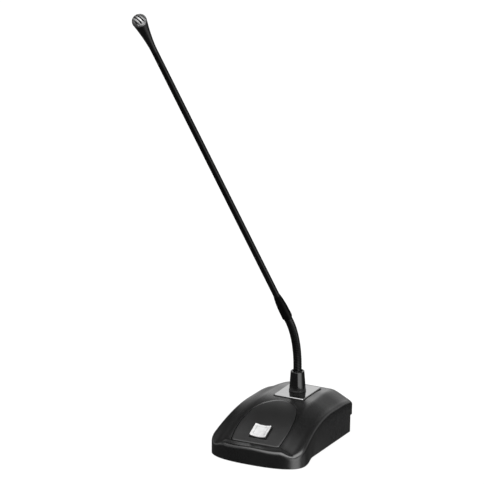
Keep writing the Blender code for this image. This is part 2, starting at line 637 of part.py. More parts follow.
# Flexible neck
def neck_point(s):
    """Place and lean of the neck's centre line, s above the boot."""
    turn = min(max((s - NECK_RISE) / BEND_R, 0.0), LEAN)
    y = MOUNT_Y - BEND_R * (1 - math.cos(turn))
    z = BOOT_TOP_Z + min(s, NECK_RISE) + BEND_R * math.sin(turn)
    past = max(s - NECK_RISE - BEND_R * LEAN, 0.0)
    return Vector((0, y - past * math.sin(turn), z + past * math.cos(turn))), turn


def neck_ring(s, radius):
    centre, turn = neck_point(s)
    across = Vector((1, 0, 0))
    along = Vector((0, math.cos(turn), math.sin(turn)))
    angles = [2 * math.pi * i / NECK_SIDES for i in range(NECK_SIDES)]
    return [centre + radius * (across * math.cos(a) + along * math.sin(a)) for a in angles]


def neck_link(name, start, ribs, open_start=True, open_end=True):
    """A stretch of ribbed tube with its bore. An open end leaves half the joint's gap."""
    first = start + (JOINT_GAP / 2 if open_start else 0)
    last = start + ribs * PITCH - (JOINT_GAP / 2 if open_end else 0)
    stations = [(first, END_R)]
    for i in range(ribs):
        stations.append((start + (i + 0.5) * PITCH, NECK_R))
        stations.append((start + (i + 1) * PITCH, GROOVE_R))
    stations[-1] = (last, END_R)
    rings = [neck_ring(s, radius) for s, radius in stations]
    rings += [neck_ring(s, NECK_BORE_R) for s in (last, (first + last) / 2, first)]
    place, turn = neck_point(start)
    pivot = axis_frame(f"{name}_axis", place, turn)
    shape = loft(rings + rings[:1])
    bmesh.ops.transform(shape, matrix=(pivot.matrix_basis).inverted(), verts=shape.verts)
    put(name, shape, SATIN_BLACK, pivot, LINK_CREASE)
    return pivot


joint_s = [LINK * (k + 0.5) for k in range(JOINTS)]
neck_link("neck_root", joint_s[0] - ROOT_RIBS * PITCH, ROOT_RIBS, open_start=False)
for k in range(1, JOINTS):
    neck_link(f"neck_link_{k}", joint_s[k - 1], RIBS)
wand_axis = neck_link("neck_tip", joint_s[-1], TIP_RIBS, open_end=False)

# Wand: everything stands on the axis of the last joint of the neck, Z along the rod
TIP_END = TIP_RIBS * PITCH
SLEEVE_LOW = LINK / 2 + SLEEVE_RISE
SLEEVE_HIGH = SLEEVE_LOW + SLEEVE_LEN
ROD_LOW = TIP_END + GAP
HEAD_LOW = SLEEVE_HIGH + ROD_FREE
HEAD_HIGH = HEAD_LOW + HEAD_LEN

sleeve = [(NECK_R + GAP, SLEEVE_LOW)]
SLEEVE_STEPS = 8
for i in range(SLEEVE_STEPS + 1):
    share = i / SLEEVE_STEPS
    radius = SLEEVE_R + (SLEEVE_END_R - SLEEVE_R) * share ** SLEEVE_EASE
    sleeve.append((max(radius, SLEEVE_TOP_R), SLEEVE_LOW + SLEEVE_LEN * share))
sleeve += [(ROD_R + GAP, SLEEVE_HIGH), (ROD_R + GAP, TIP_END + GAP), (NECK_R + GAP, TIP_END)]
put("neck_sleeve", turned(sleeve, 28), SATIN_BLACK, wand_axis)
put("rod_tube", turned(tube(ROD_R, ROD_BORE_R, ROD_LOW, HEAD_LOW - GAP), 28), SATIN_BLACK, wand_axis)


def head_radius(z):
    share = min(max((z - HEAD_LOW) / HEAD_LEN, 0.0), 1.0)
    return ROD_R + (HEAD_R - ROD_R) * share ** HEAD_EASE


SPIGOT_R = ROD_BORE_R - GAP
SPIGOT_BORE_R = LEAD_R + GAP
CAPSULE_LOW = HEAD_HIGH - CAPSULE_DEPTH
HEAD_STEPS = 10
head = [(SPIGOT_BORE_R, HEAD_LOW - SPIGOT_LEN), (SPIGOT_R, HEAD_LOW - SPIGOT_LEN), (SPIGOT_R, HEAD_LOW)]
for i in range(HEAD_STEPS + 1):
    z = HEAD_LOW + HEAD_LEN * i / HEAD_STEPS
    head.append((head_radius(z), z))
head += [(CAPSULE_BORE_R, HEAD_HIGH), (CAPSULE_BORE_R, CAPSULE_LOW), (SPIGOT_BORE_R, CAPSULE_LOW)]
put("head_shell", turned(head, 32), SATIN_BLACK, wand_axis)

ring_top = CAPSULE_LOW + GAP + CAPSULE_RING_T
CAPSULE_R = CAPSULE_BORE_R - GAP
capsule_ring = tube(CAPSULE_R, CAPSULE_RING_BORE_R, CAPSULE_LOW + GAP, ring_top)
put("capsule_ring", turned(capsule_ring, 28), RUBBER_BLACK, wand_axis)
capsule_top = ring_top + GAP + CAPSULE_H
put("capsule", turned(rod(CAPSULE_R, ring_top + GAP, capsule_top), 28), STEEL, wand_axis)
lead = turned(rod(LEAD_R, ROD_LOW, ring_top), 12)
put("rod_lead", lead, RUBBER_BLACK, wand_axis)


# Grille: a domed cap with slots, plugged into the head by its skirt
def dome(radius, low, height, steps=6):
    """Points of a dome from its foot to its crown."""
    angles = [math.pi / 2 * i / steps for i in range(steps + 1)]
    return [(radius * max(math.cos(a), 0.0), low + height * math.sin(a)) for a in angles]


GRILLE_LOW = HEAD_HIGH + GAP
inner_dome = dome(CAPSULE_R - GRILLE_T / 2, GRILLE_LOW, GRILLE_H - GRILLE_T)
outer_dome = dome(HEAD_R, GRILLE_LOW + GRILLE_RIM / 2, GRILLE_H - GRILLE_RIM / 2)
skirt_low = GRILLE_LOW - GRILLE_SKIRT
grille = list(reversed(inner_dome)) + [(CAPSULE_R - GRILLE_T / 2, skirt_low), (CAPSULE_R, skirt_low),
                                       (CAPSULE_R, GRILLE_LOW), (HEAD_R, GRILLE_LOW)] + outer_dome
grille = put("grille", turned(grille, 32), GRILLE_GREY, wand_axis)
for i in range(SLOTS):
    off = (i - (SLOTS - 1) / 2) * SLOT_PITCH
    reach = math.sqrt(HEAD_R ** 2 - off ** 2) - SLOT_END
    slot = block((2 * reach, SLOT_W, GRILLE_H + CUT_PAST), (0, off, GRILLE_LOW + GRILLE_RIM))
    slot = put("grille_slot", slot, None, wand_axis)
    slot.rotation_euler.z = SLOT_TURN
    combine(grille, slot)
foam_low = capsule_top + GAP
foam_r = CAPSULE_R - GRILLE_T / 2 - GAP
foam = [(0, foam_low), (foam_r, foam_low)] + dome(foam_r, GRILLE_LOW, GRILLE_H - GRILLE_T - GAP)
put("wind_foam", turned(foam, 24), FOAM_BLACK, wand_axis)


# Cable inside the base, from the stud's bore to the header on the board
def mic_lead(points, name="mic_lead"):
    curve = bpy.data.curves.new(name, "CURVE")
    curve.dimensions = "3D"
    curve.bevel_depth = LEAD_R
    curve.bevel_resolution = 2
    curve.use_fill_caps = True
    curve.resolution_u = 5
    spline = curve.splines.new("BEZIER")
    spline.bezier_points.add(len(points) - 1)
    for knot, (place, handle) in zip(spline.bezier_points, points):
        knot.co = place
        knot.handle_left = place - handle
        knot.handle_right = place + handle
    curve.materials.append(RUBBER_BLACK)
    bpy.context.scene.collection.objects.link(bpy.data.objects.new(name, curve))


bpy.context.view_layer.update()
header_face = Vector((0, HEADER_T + HEADER[1] / 2 + GAP, header_low + HEADER[2] / 2))
lead_end = board_axis.matrix_world @ header_face
lead_way = board_axis.matrix_world.to_3x3() @ Vector((0, -1, 0))
lead_down = Vector((0, 0, -2 * LEAD_R))
stud_mouth = Vector((0, MOUNT_Y, CREST_Z - STUD_TAIL))
mic_lead([(stud_mouth - lead_down, lead_down / 2), (stud_mouth + lead_down, lead_down),
          (lead_end, lead_way * LEAD_SWING)])
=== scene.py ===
"""Gooseneck podium microphone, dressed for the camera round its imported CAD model. Metres, +Z up, the user
sits on the -Y side, and the origin lies on the table under the middle of the base."""
import math

import bmesh
import bpy
from mathutils import Matrix, Vector, noise


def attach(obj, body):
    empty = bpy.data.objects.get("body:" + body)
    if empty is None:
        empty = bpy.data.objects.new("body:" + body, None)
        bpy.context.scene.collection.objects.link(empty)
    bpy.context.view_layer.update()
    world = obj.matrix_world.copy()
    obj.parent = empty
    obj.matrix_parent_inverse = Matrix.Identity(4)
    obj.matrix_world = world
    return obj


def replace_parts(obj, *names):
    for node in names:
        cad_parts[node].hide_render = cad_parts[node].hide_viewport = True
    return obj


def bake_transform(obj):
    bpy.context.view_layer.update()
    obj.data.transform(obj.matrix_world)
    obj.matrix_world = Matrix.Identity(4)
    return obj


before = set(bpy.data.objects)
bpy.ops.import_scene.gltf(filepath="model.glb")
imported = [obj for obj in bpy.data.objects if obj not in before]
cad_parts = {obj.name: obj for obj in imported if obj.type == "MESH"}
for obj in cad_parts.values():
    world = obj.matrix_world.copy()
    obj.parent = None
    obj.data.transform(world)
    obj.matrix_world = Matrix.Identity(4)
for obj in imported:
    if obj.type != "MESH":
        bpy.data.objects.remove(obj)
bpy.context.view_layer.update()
MM = 0.001

# Rubber pad
# The foot of the microphone: a black moulded rubber sheet under the whole base, glued to the bottom plate.
# Its edge is rounded over, and its underside has a fine moulded grain that grips the table.
PAD_T = 1.5 * MM
PAD_EDGE = 0.5 * MM
PAD_INSET = 4.3 * MM      # inside the foot of the base
FLANGE_HALF = 42.7 * MM   # half width of the base's flared front
FLANGE_Y = -38 * MM       # where the flare is widest
FRONT_RUN = 19.1 * MM     # from there to the front wall
FRONT_ROUND = 2.5         # exponent of the front's rounded plan
FOOT_HALF = 38.2 * MM     # half width of the side walls at the table
FOOT_RUN = 22 * MM        # length over which the flare runs into the side wall
RIM_HALF = 38.9 * MM      # half width of the top at the rear
RIM_RUN = 60 * MM         # length over which the top narrows
RIM_EASE = 1.8
REAR_Y = 57 * MM          # rear lip
REAR_CORNER_R = 5 * MM
REAR_WALL_Y = 50.5 * MM   # recessed rear wall, under the lip
SPINE_END = 12 * MM       # from the rear of an outline to the end of the line that it shrinks to
MERGE = 0.002 * MM        # points nearer than this are one point
PATCH = 18 * MM           # size of the faint patches in a plain finish


class Wire:
    """A socket of a node tree that takes part in Python sums; each sum adds a Math node."""

    def __init__(self, tree, socket):
        self.tree, self.socket = tree, socket

    def math(self, operation, *values):
        return self.tree.node("ShaderNodeMath", {"operation": operation}, dict(enumerate(values)))

    def __add__(self, other):
        return self.math("ADD", self, other)

    def __sub__(self, other):
        return self.math("SUBTRACT", self, other)

    def __rsub__(self, other):
        return self.math("SUBTRACT", other, self)

    def __mul__(self, other):
        return self.math("MULTIPLY", self, other)

    def __truediv__(self, other):
        return self.math("DIVIDE", self, other)

    def __rtruediv__(self, other):
        return self.math("DIVIDE", other, self)

    def __pow__(self, other):
        return self.math("POWER", self, other)

    __radd__, __rmul__ = __add__, __mul__


class Tree:
    """A node tree that is written as Python expressions."""

    def __init__(self, tree):
        self.tree = tree

    def node(self, kind, settings=(), sockets=(), out=0):
        made = self.tree.nodes.new(kind)
        for name, value in dict(settings).items():
            if name == "stops":
                for stop, (place, colour) in zip(made.color_ramp.elements, value):
                    stop.position, stop.color = place, colour
            else:
                setattr(made, name, value)
        for name, value in dict(sockets).items():
            if isinstance(value, Wire):
                self.tree.links.new(value.socket, made.inputs[name])
            else:
                made.inputs[name].default_value = value
        return None if out is None else Wire(self, made.outputs[out])


class Finish(Tree):
    """A material. What is the same all over is set on the shader, and what changes goes through feed."""

    def __init__(self, name, **same):
        self.material = bpy.data.materials.new(name)
        self.material.use_nodes = True
        super().__init__(self.material.node_tree)
        self.shader = self.tree.nodes["Principled BSDF"]
        for socket, value in same.items():
            self.shader.inputs[socket.replace("_", " ")].default_value = value

    def feed(self, socket, wire):
        self.tree.links.new(wire.socket, self.shader.inputs[socket])

    def grain(self, size, detail=2.0, stretch=(1, 1, 1)):
        """Noise on Object coordinates, with features of this size in metres."""
        place = self.node("ShaderNodeTexCoord", out="Object")
        place = self.node("ShaderNodeMapping", {}, {"Vector": place, "Scale": stretch})
        return self.node("ShaderNodeTexNoise", {}, {"Vector": place, "Scale": 1 / size, "Detail": detail})

    def tint(self, mask, low, high):
        """Base colour from one grey or colour to another, by a mask."""
        stops = [(at, (*((value,) * 3 if isinstance(value, float) else value), 1))
                 for at, value in ((0.3, low), (0.7, high))]
        self.feed("Base Color", self.node("ShaderNodeValToRGB", {"stops": stops}, {"Fac": mask}))

    def relief(self, height, depth):
        self.feed("Normal", self.node("ShaderNodeBump", {}, {"Height": height, "Distance": depth}))


def plain_finish(name, low, high, rough, metallic=0.0, grain=0.4 * MM, depth=0.01 * MM, stretch=(1, 1, 1)):
    """A finish with a fine grain: its colour lies between two values and its gloss follows the grain."""
    made = Finish(name, Metallic=metallic)
    fine = made.grain(grain, 3, stretch)
    broad = made.grain(PATCH, 2)
    made.tint(0.6 * fine + 0.4 * broad, low, high)
    made.feed("Roughness", rough + 0.1 * (fine - 0.5) + 0.08 * (broad - 0.5))
    made.relief(fine, depth)
    return made


def dress(slot_finish, *nodes):
    """Give carried-over CAD nodes their finish."""
    for node in nodes:
        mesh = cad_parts[node]
        for holder in mesh.material_slots:
            holder.material = slot_finish.material


def loft(rings):
    """Skin rings of equal count, first to last. An end ring that lies on one line or point closes itself."""
    shape = bmesh.new()
    rows = [[shape.verts.new(point) for point in ring] for ring in rings]
    count = len(rows[0])
    for low, high in zip(rows, rows[1:]):
        for i in range(count):
            shape.faces.new((low[i], low[(i + 1) % count], high[(i + 1) % count], high[i]))
    return shape


def settle(name, shape, finish=None, sharp=35):
    """Merge a shape's doubles, point its faces outwards and make it an object."""
    bmesh.ops.remove_doubles(shape, verts=shape.verts, dist=MERGE)
    bmesh.ops.dissolve_degenerate(shape, edges=shape.edges, dist=MERGE)
    bmesh.ops.recalc_face_normals(shape, faces=shape.faces)
    mesh = bpy.data.meshes.new(name)
    shape.to_mesh(mesh)
    shape.free()
    mesh.shade_smooth()
    mesh.set_sharp_from_angle(angle=math.radians(sharp))
    made = bpy.data.objects.new(name, mesh)
    if finish:
        mesh.materials.append(finish.material)
    bpy.context.scene.collection.objects.link(made)
    return made


def fit(piece, body, slot, *nodes):
    """Fix a finished piece to its body, in the place of these CAD nodes."""
    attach(piece, body)
    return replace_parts(piece, *nodes)


def smooth(t):
    t = min(max(t, 0.0), 1.0)
    return t * t * (3 - 2 * t)


def side_half(y, rim):
    """Half width of the base at y, at the rim of its top or at its foot."""
    if rim:
        return RIM_HALF + (FLANGE_HALF - RIM_HALF) * max(1 - (y - FLANGE_Y) / RIM_RUN, 0.0) ** RIM_EASE
    return FOOT_HALF + (FLANGE_HALF - FOOT_HALF) * (1 - smooth((y - FLANGE_Y) / FOOT_RUN))


def both_sides(half):
    """Close a half outline, which runs from the centre line to the centre line, with its mirror image."""
    return half + [(-x, y) for x, y in reversed(half[1:-1])]


def base_outline(rim, inset=0.0, rear=REAR_Y, front_steps=40, side_steps=44, corner_steps=8, rear_steps=12):
    """Plan of the base from the front centre, by the right side, to the rear and back."""
    power = 2 / FRONT_ROUND
    half = []
    for i in range(front_steps + 1):
        turn = math.pi / 2 * i / front_steps
        x = (FLANGE_HALF - inset) * math.sin(turn) ** power
        half.append((x, FLANGE_Y - (FRONT_RUN - inset) * max(math.cos(turn), 0.0) ** power))
    side_end = rear - inset - REAR_CORNER_R
    for i in range(1, side_steps + 1):
        y = FLANGE_Y + (side_end - FLANGE_Y) * i / side_steps
        half.append((side_half(y, rim) - inset, y))
    corner_x = side_half(rear, rim) - inset - REAR_CORNER_R
    for i in range(1, corner_steps + 1):
        turn = math.pi / 2 * i / corner_steps
        half.append((corner_x + REAR_CORNER_R * math.cos(turn), side_end + REAR_CORNER_R * math.sin(turn)))
    for i in range(1, rear_steps + 1):
        half.append((corner_x * (1 - i / rear_steps), rear - inset))
    return both_sides(half)


def at_height(outline, z):
    return [(x, y, z) for x, y in outline]


def drawn_in(outline, share, first_y, last_y):
    """The outline shrunk to a share of itself towards the centre line between first_y and last_y."""
    ring = []
    for x, y in outline:
        y_line = min(max(y, first_y), last_y)
        ring.append((x * share, y_line + (y - y_line) * share))
    return ring


def rubber_pad():
    finish = Finish("moulded_rubber", Metallic=0.0)
    grip = finish.grain(1.2 * MM, 4)
    finish.tint(grip, 0.008, 0.02)
    finish.feed("Roughness", 0.62 + 0.2 * grip)
    finish.relief(grip, 0.12 * MM)
    rings = []
    for inset, z, share in ((0, 0, 0), (0, 0, 0.6), (PAD_EDGE, 0, 1), (0.3 * PAD_EDGE, 0.3 * PAD_EDGE, 1),
                            (0, PAD_EDGE, 1), (0, PAD_T, 1), (0, PAD_T, 0.6), (0, PAD_T, 0)):
        outline = base_outline(False, PAD_INSET + inset, REAR_WALL_Y)
        rings.append(at_height(drawn_in(outline, share, FLANGE_Y, REAR_WALL_Y - SPINE_END), z))
    fit(settle("rubber_foot", loft(rings), finish), "base", "rubber_black", "rubber_pad")


rubber_pad()

# Bottom plate, its screws and the ballast
# A pressed steel plate closes the base, held to the posts of the housing by four screws with sunk heads.
# A steel block on it keeps the base standing under the long wand.
zinc_plated = plain_finish("zinc_plated_steel", 0.42, 0.6, 0.38, 1.0, 0.6 * MM, 0.01 * MM)
dress(zinc_plated, "bottom_plate", *(f"bottom_screw_{n}" for n in range(1, 5)))
dress(plain_finish("sawn_steel", 0.3, 0.46, 0.45, 1.0, 0.8 * MM, 0.03 * MM, (1, 0.05, 1)), "ballast_weight")

# Housing of the base
# A die-cast wedge, coated satin black with a fine even grain: a raised spine, hollowed flanks that run out in
# a dip at the front corners, and a lip over the recessed rear wall. It carries everything else.
FOOT_Z = 0.6 * MM         # lower edge of the housing
FOOT_EDGE = 0.4 * MM
LEDGE_Z = 16 * MM         # top of the front wall
CREST_Z = 36.4 * MM       # top of the spine
RISE_START = -48.5 * MM   # where the spine starts to rise
RISE_END = 18 * MM        # where it is level
RISE_EASE = 0.58          # below 1 the rise is steep in front
FALL_START = 34 * MM      # where the spine starts to fall to the lip
REAR_FALL = 3 * MM
LIP_Z = 15.5 * MM         # underside of the rear lip
DROP = (3.7 * MM, 7.3 * MM)        # drop from spine to rim, at the front and at the rear
SHOULDER_IN = (25.5 * MM, 18 * MM)  # where the drop starts
SHOULDER_OUT = (35.5 * MM, 39 * MM)  # where it ends
FRONT_SAG = 1.4 * MM      # how far the front edge falls from its middle to the shoulders
SAG_RUN = 10 * MM         # how far back that reaches
EDGE_R = 2.8 * MM         # rounding of the rim
EDGE_STEPS = 6
WALL = 3 * MM
ROOF = 3.2 * MM           # top wall, measured straight down
GAP = 0.3 * MM            # between pieces that seat on each other
CUT_PAST = 4 * MM         # how far a cutter runs past the wall that it cuts
BREAK = 0.35 * MM         # broken edge round a recess
PANEL_HALF = 23.6 * MM    # the D-shaped recess for the control panel
PANEL_WIDE_Y = -36 * MM
PANEL_RUN = 43.5 * MM
PANEL_ROUND = 2.2
PANEL_FRONT_Y = -47.8 * MM
PANEL_FRONT_HALF = 22.6 * MM
PANEL_CORNER_R = 3 * MM
PANEL_T = 1.9 * MM
PANEL_LINE_END = PANEL_WIDE_Y + 0.75 * PANEL_RUN
MOUNT_Y = 29.7 * MM       # axis of the neck
MOUNT_PLATE = (27.4 * MM, 32.7 * MM, 1.7 * MM)
MOUNT_Z = CREST_Z + 0.9 * MM  # top of the plate, just proud of the spine
MOUNT_CORNER = 1.2 * MM
SEAT_GAP = 0.6 * MM       # open joint round the plate
WELL = (15.6 * MM, 14.2 * MM)  # well for the button
BUTTON_Y = -36 * MM
STUD_HOLE_R = 4.3 * MM
GLAND_HOLE_R = 3.9 * MM
GLAND_Z = 9.8 * MM
COAT_PATCH = 26 * MM      # size of the faint patches in the coating
TOP_STEPS = 34            # rings from the rim to the spine line


def spine_height(y):
    rise = min(max((y - RISE_START) / (RISE_END - RISE_START), 0.0), 1.0)
    fall = max((y - FALL_START) / (REAR_Y - FALL_START), 0.0)
    return LEDGE_Z + (CREST_Z - LEDGE_Z) * smooth(rise ** RISE_EASE) - REAR_FALL * fall * fall


def base_top(x, y):
    """Height of the base's top: the spine, less the drop over its shoulders to the rim."""
    front = FLANGE_Y - FRONT_RUN
    back = (y - front) / (REAR_Y - front)
    inner, outer, drop = (a + (b - a) * back for a, b in (SHOULDER_IN, SHOULDER_OUT, DROP))
    sag = FRONT_SAG * (1 - smooth((y - front) / SAG_RUN))
    fall = sag * smooth(abs(x) / inner) + (drop - sag) * smooth((abs(x) - inner) / (outer - inner))
    return spine_height(y) - fall


def on_top(outline, below=0.0):
    return [(x, y, base_top(x, y) - below) for x, y in outline]


def base_ring(outline, share, rear, below=0.0):
    return on_top(drawn_in(outline, share, FLANGE_Y, rear - SPINE_END), below)


def panel_outline(inset=0.0, round_steps=48, side_steps=10, corner_steps=8, front_steps=24):
    """Plan of the D-shaped panel, from its round end by the right side to the front."""
    half = []
    for i in range(round_steps + 1):
        turn = math.pi / 2 * i / round_steps
        reach = max(math.cos(turn), 0.0) ** (2 / PANEL_ROUND)
        half.append(((PANEL_HALF - inset) * math.sin(turn), PANEL_WIDE_Y + (PANEL_RUN - inset) * reach))
    radius = PANEL_CORNER_R - inset
    corner = (PANEL_FRONT_HALF - PANEL_CORNER_R, PANEL_FRONT_Y + PANEL_CORNER_R)
    start = half[-1]
    for i in range(1, side_steps + 1):
        share = i / side_steps
        half.append((start[0] + (corner[0] + radius - start[0]) * share,
                     start[1] + (corner[1] - start[1]) * share))
    for i in range(1, corner_steps + 1):
        turn = math.pi / 2 * i / corner_steps
        half.append((corner[0] + radius * math.cos(turn), corner[1] - radius * math.sin(turn)))
    for i in range(1, front_steps + 1):
        half.append((corner[0] * (1 - i / front_steps), corner[1] - radius))
    return both_sides(half)


def panel_slab(edges):
    """A D-shaped slab that follows the base's top. Its edges are (inset, depth below the top), from below."""
    shares = (0, 0.2, 0.4, 0.6, 0.8, 0.92)
    rings = []
    for shrink, (inset, below) in [(shares, edges[0])] + [((1,), edge) for edge in edges] + [
            (tuple(reversed(shares)), edges[-1])]:
        outline = panel_outline(inset)
        rings += [on_top(drawn_in(outline, share, PANEL_WIDE_Y, PANEL_LINE_END), below) for share in shrink]
    return loft(rings)


def turned(profile, sides=64):
    """Spin a closed outline of (radius, height) points round the Z axis."""
    rings = []
    for i in range(sides):
        turn = 2 * math.pi * i / sides
        rings.append([(r * math.cos(turn), r * math.sin(turn), z) for r, z in profile])
    return loft(rings + rings[:1])


def drill(radius, low, high):
    """A round tool along the Z axis."""
    return turned([(0, low), (radius, low), (radius, high), (0, high)], 48)


def moved(shape, matrix):
    bmesh.ops.transform(shape, matrix=matrix, verts=shape.verts)
    return shape


def rectangle(size, corner=0.0, centre=(0, 0), corner_steps=6, side_steps=1):
    """Plan of a rectangle with rounded corners and evenly split sides."""
    arcs = []
    for quarter, (sx, sy) in enumerate(((1, 1), (-1, 1), (-1, -1), (1, -1))):
        spot = Vector((centre[0] + sx * (size[0] / 2 - corner), centre[1] + sy * (size[1] / 2 - corner)))
        turns = [math.pi / 2 * (quarter + i / corner_steps) for i in range(corner_steps + 1)]
        turns = turns if corner else turns[:1]
        arcs.append([spot + corner * Vector((math.cos(a), math.sin(a))) for a in turns])
    outline = []
    for here, after in zip(arcs, arcs[1:] + arcs[:1]):
        outline += here + [here[-1].lerp(after[0], i / side_steps) for i in range(1, side_steps)]
    return [tuple(point) for point in outline]


def block(size, low_centre, corner=0.0):
    """A box of this size that stands on the point low_centre, with rounded upright corners."""
    outline = rectangle(size, corner, low_centre)
    middle = [(low_centre[0], low_centre[1])] * len(outline)
    low, high = low_centre[2], low_centre[2] + size[2]
    return loft([at_height(middle, low), at_height(outline, low),
                 at_height(outline, high), at_height(middle, high)])


def cut(piece, *tools, sharp=35):
    """Cut tools out of a piece, then throw the tools away."""
    for number, shape in enumerate(tools):
        tool = settle(f"{piece.name}_tool_{number}", shape)
        step = piece.modifiers.new(tool.name, "BOOLEAN")
        step.operation, step.solver, step.object = "DIFFERENCE", "EXACT", tool
        bpy.context.view_layer.update()
        done = bpy.data.meshes.new_from_object(piece.evaluated_get(bpy.context.evaluated_depsgraph_get()))
        piece.modifiers.remove(step)
        bpy.data.objects.remove(tool)
        old, piece.data = piece.data, done
        bpy.data.meshes.remove(old)
    piece.data.shade_smooth()
    piece.data.set_sharp_from_angle(angle=math.radians(sharp))
    return piece


def satin_coat(name, grain, depth, rough, low=0.002, high=0.005, specular=0.7):
    """Satin black coating: an even fine grain, with slight differences of gloss where hands touch it."""
    made = Finish(name, Metallic=0.0, Specular_IOR_Level=specular)
    fine, broad = made.grain(grain, 3), made.grain(COAT_PATCH, 3)
    made.tint(0.5 * fine + 0.5 * broad, low, high)
    made.feed("Roughness", rough + 0.1 * (broad - 0.5) + 0.06 * (fine - 0.5))
    made.relief(fine, depth)
    return made


slope = (spine_height(BUTTON_Y + MM) - spine_height(BUTTON_Y - MM)) / (2 * MM)
button_spot = Matrix.Translation((0, BUTTON_Y, spine_height(BUTTON_Y)))
button_frame = button_spot @ Matrix.Rotation(math.atan(slope), 4, "X")
gland_frame = Matrix.Translation((0, REAR_WALL_Y - WALL, GLAND_Z)) @ Matrix.Rotation(-math.pi / 2, 4, "X")
at_neck = Matrix.Translation((0, MOUNT_Y, 0))


def base_housing():
    cavity_y = REAR_WALL_Y - WALL
    cave = base_outline(True, WALL, REAR_WALL_Y)
    rings = [base_ring(cave, share, cavity_y, ROOF) for share in (0, 0.4, 0.66, 0.84, 1)]
    rings.append(at_height(base_outline(False, WALL, REAR_WALL_Y), FOOT_Z))
    rings.append(at_height(base_outline(False, FOOT_EDGE), FOOT_Z))
    foot = at_height(base_outline(False), FOOT_Z + FOOT_EDGE)
    rim = on_top(base_outline(True), EDGE_R)
    for share in (0, 0.2, 0.4, 0.6, 0.8):
        rings.append([Vector(a).lerp(Vector(b), share) for a, b in zip(foot, rim)])
    for i in range(EDGE_STEPS + 1):
        angle = math.pi / 2 * i / EDGE_STEPS
        inset, below = EDGE_R * (1 - math.cos(angle)), EDGE_R * (1 - math.sin(angle))
        rings.append(on_top(base_outline(True, inset), below))
    top = base_outline(True, EDGE_R)
    shares = [1 - i / TOP_STEPS for i in range(1, TOP_STEPS)] + [0]
    rings += [base_ring(top, share, REAR_Y) for share in shares]
    finish = satin_coat("cast_satin_black", 0.35 * MM, 0.01 * MM, 0.28)
    housing = settle("base_shell", loft(rings), finish)

    depth = REAR_Y - REAR_WALL_Y + CUT_PAST
    recess = block((4 * FLANGE_HALF, depth, LIP_Z + CUT_PAST), (0, REAR_WALL_Y + depth / 2, -CUT_PAST))
    seat = panel_slab([(0, PANEL_T + GAP), (0, BREAK), (-BREAK, 0), (-BREAK - CUT_PAST, -CUT_PAST)])
    seat_size = (MOUNT_PLATE[0] + 2 * SEAT_GAP, MOUNT_PLATE[1] + 2 * SEAT_GAP, MOUNT_PLATE[2] + CUT_PAST)
    plate_seat = block(seat_size, (0, MOUNT_Y, MOUNT_Z - MOUNT_PLATE[2] - GAP), MOUNT_CORNER)
    well = moved(block((*WELL, 6 * CUT_PAST), (0, 0, -3 * CUT_PAST)), button_frame)
    stud_hole = moved(drill(STUD_HOLE_R, CREST_Z - ROOF - CUT_PAST, MOUNT_Z), at_neck)
    outlet = moved(drill(GLAND_HOLE_R, -CUT_PAST, WALL + CUT_PAST), gland_frame)
    cut(housing, recess, seat, plate_seat, well, stud_hole, outlet)
    fit(housing, "base", "cast_black", "base_housing")


base_housing()

# Control panel
# A moulded D-shaped insert that sits flush in the spine with a fine groove all round. Its matt face is left
# bare round the opening for the talk button, which has a broken edge.
PANEL_EDGE = 0.5 * MM
PANEL_GAP = 0.5 * MM      # the groove round it
WELL_CORNERS = (0.5 * MM, 0.7 * MM, 2 * MM)  # in the opening, at its broken edge and above it


def stacked(size, steps):
    """Rectangles grown by (growth, corner, height), skinned in order and closed at both ends on the axis."""
    rings = [at_height(rectangle([side + grow for side in size], corner), z) for grow, corner, z in steps]
    rings.insert(0, [(0, 0, rings[0][0][2])] * len(rings[0]))
    rings.append([(0, 0, rings[-1][0][2])] * len(rings[0]))
    return loft(rings)


def control_panel():
    edges = [(PANEL_GAP, PANEL_T)]
    for i in range(4):
        angle = math.pi / 2 * i / 3
        edges.append((PANEL_GAP + PANEL_EDGE * (1 - math.cos(angle)), PANEL_EDGE * (1 - math.sin(angle))))
    finish = satin_coat("moulded_matt_black", 0.22 * MM, 0.014 * MM, 0.38, 0.003, 0.007)
    panel = settle("panel_insert", panel_slab(edges), finish)
    inner, edge, above = WELL_CORNERS
    opening = stacked(WELL, [(0, inner, -CUT_PAST), (0, inner, -BREAK), (2 * BREAK, edge, 0),
                             (2 * CUT_PAST, above, CUT_PAST)])
    cut(panel, moved(opening, button_frame))
    fit(panel, "base", "panel_black", "control_panel")


control_panel()

# Switch board and its parts
# A small glass-fibre board screwed to two posts under the panel, with the push switch, two white lamps beside
# it, and the header that takes the lead from the neck.
board_lacquer = plain_finish("board_lacquer", (0.012, 0.09, 0.04), (0.02, 0.13, 0.06), 0.4, 0.0, 1.5 * MM)
dress(board_lacquer, "switch_board")
dress(zinc_plated, "board_screw_1", "board_screw_2")
dress(plain_finish("switch_nylon", 0.008, 0.014, 0.45), "switch_body", "switch_plunger")
dress(plain_finish("lamp_resin", 0.75, 0.85, 0.25), "status_led_1", "status_led_2", "board_header")
dress(plain_finish("lead_jacket", 0.008, 0.015, 0.5, 0.0, 0.8 * MM), "mic_lead", "rod_lead")

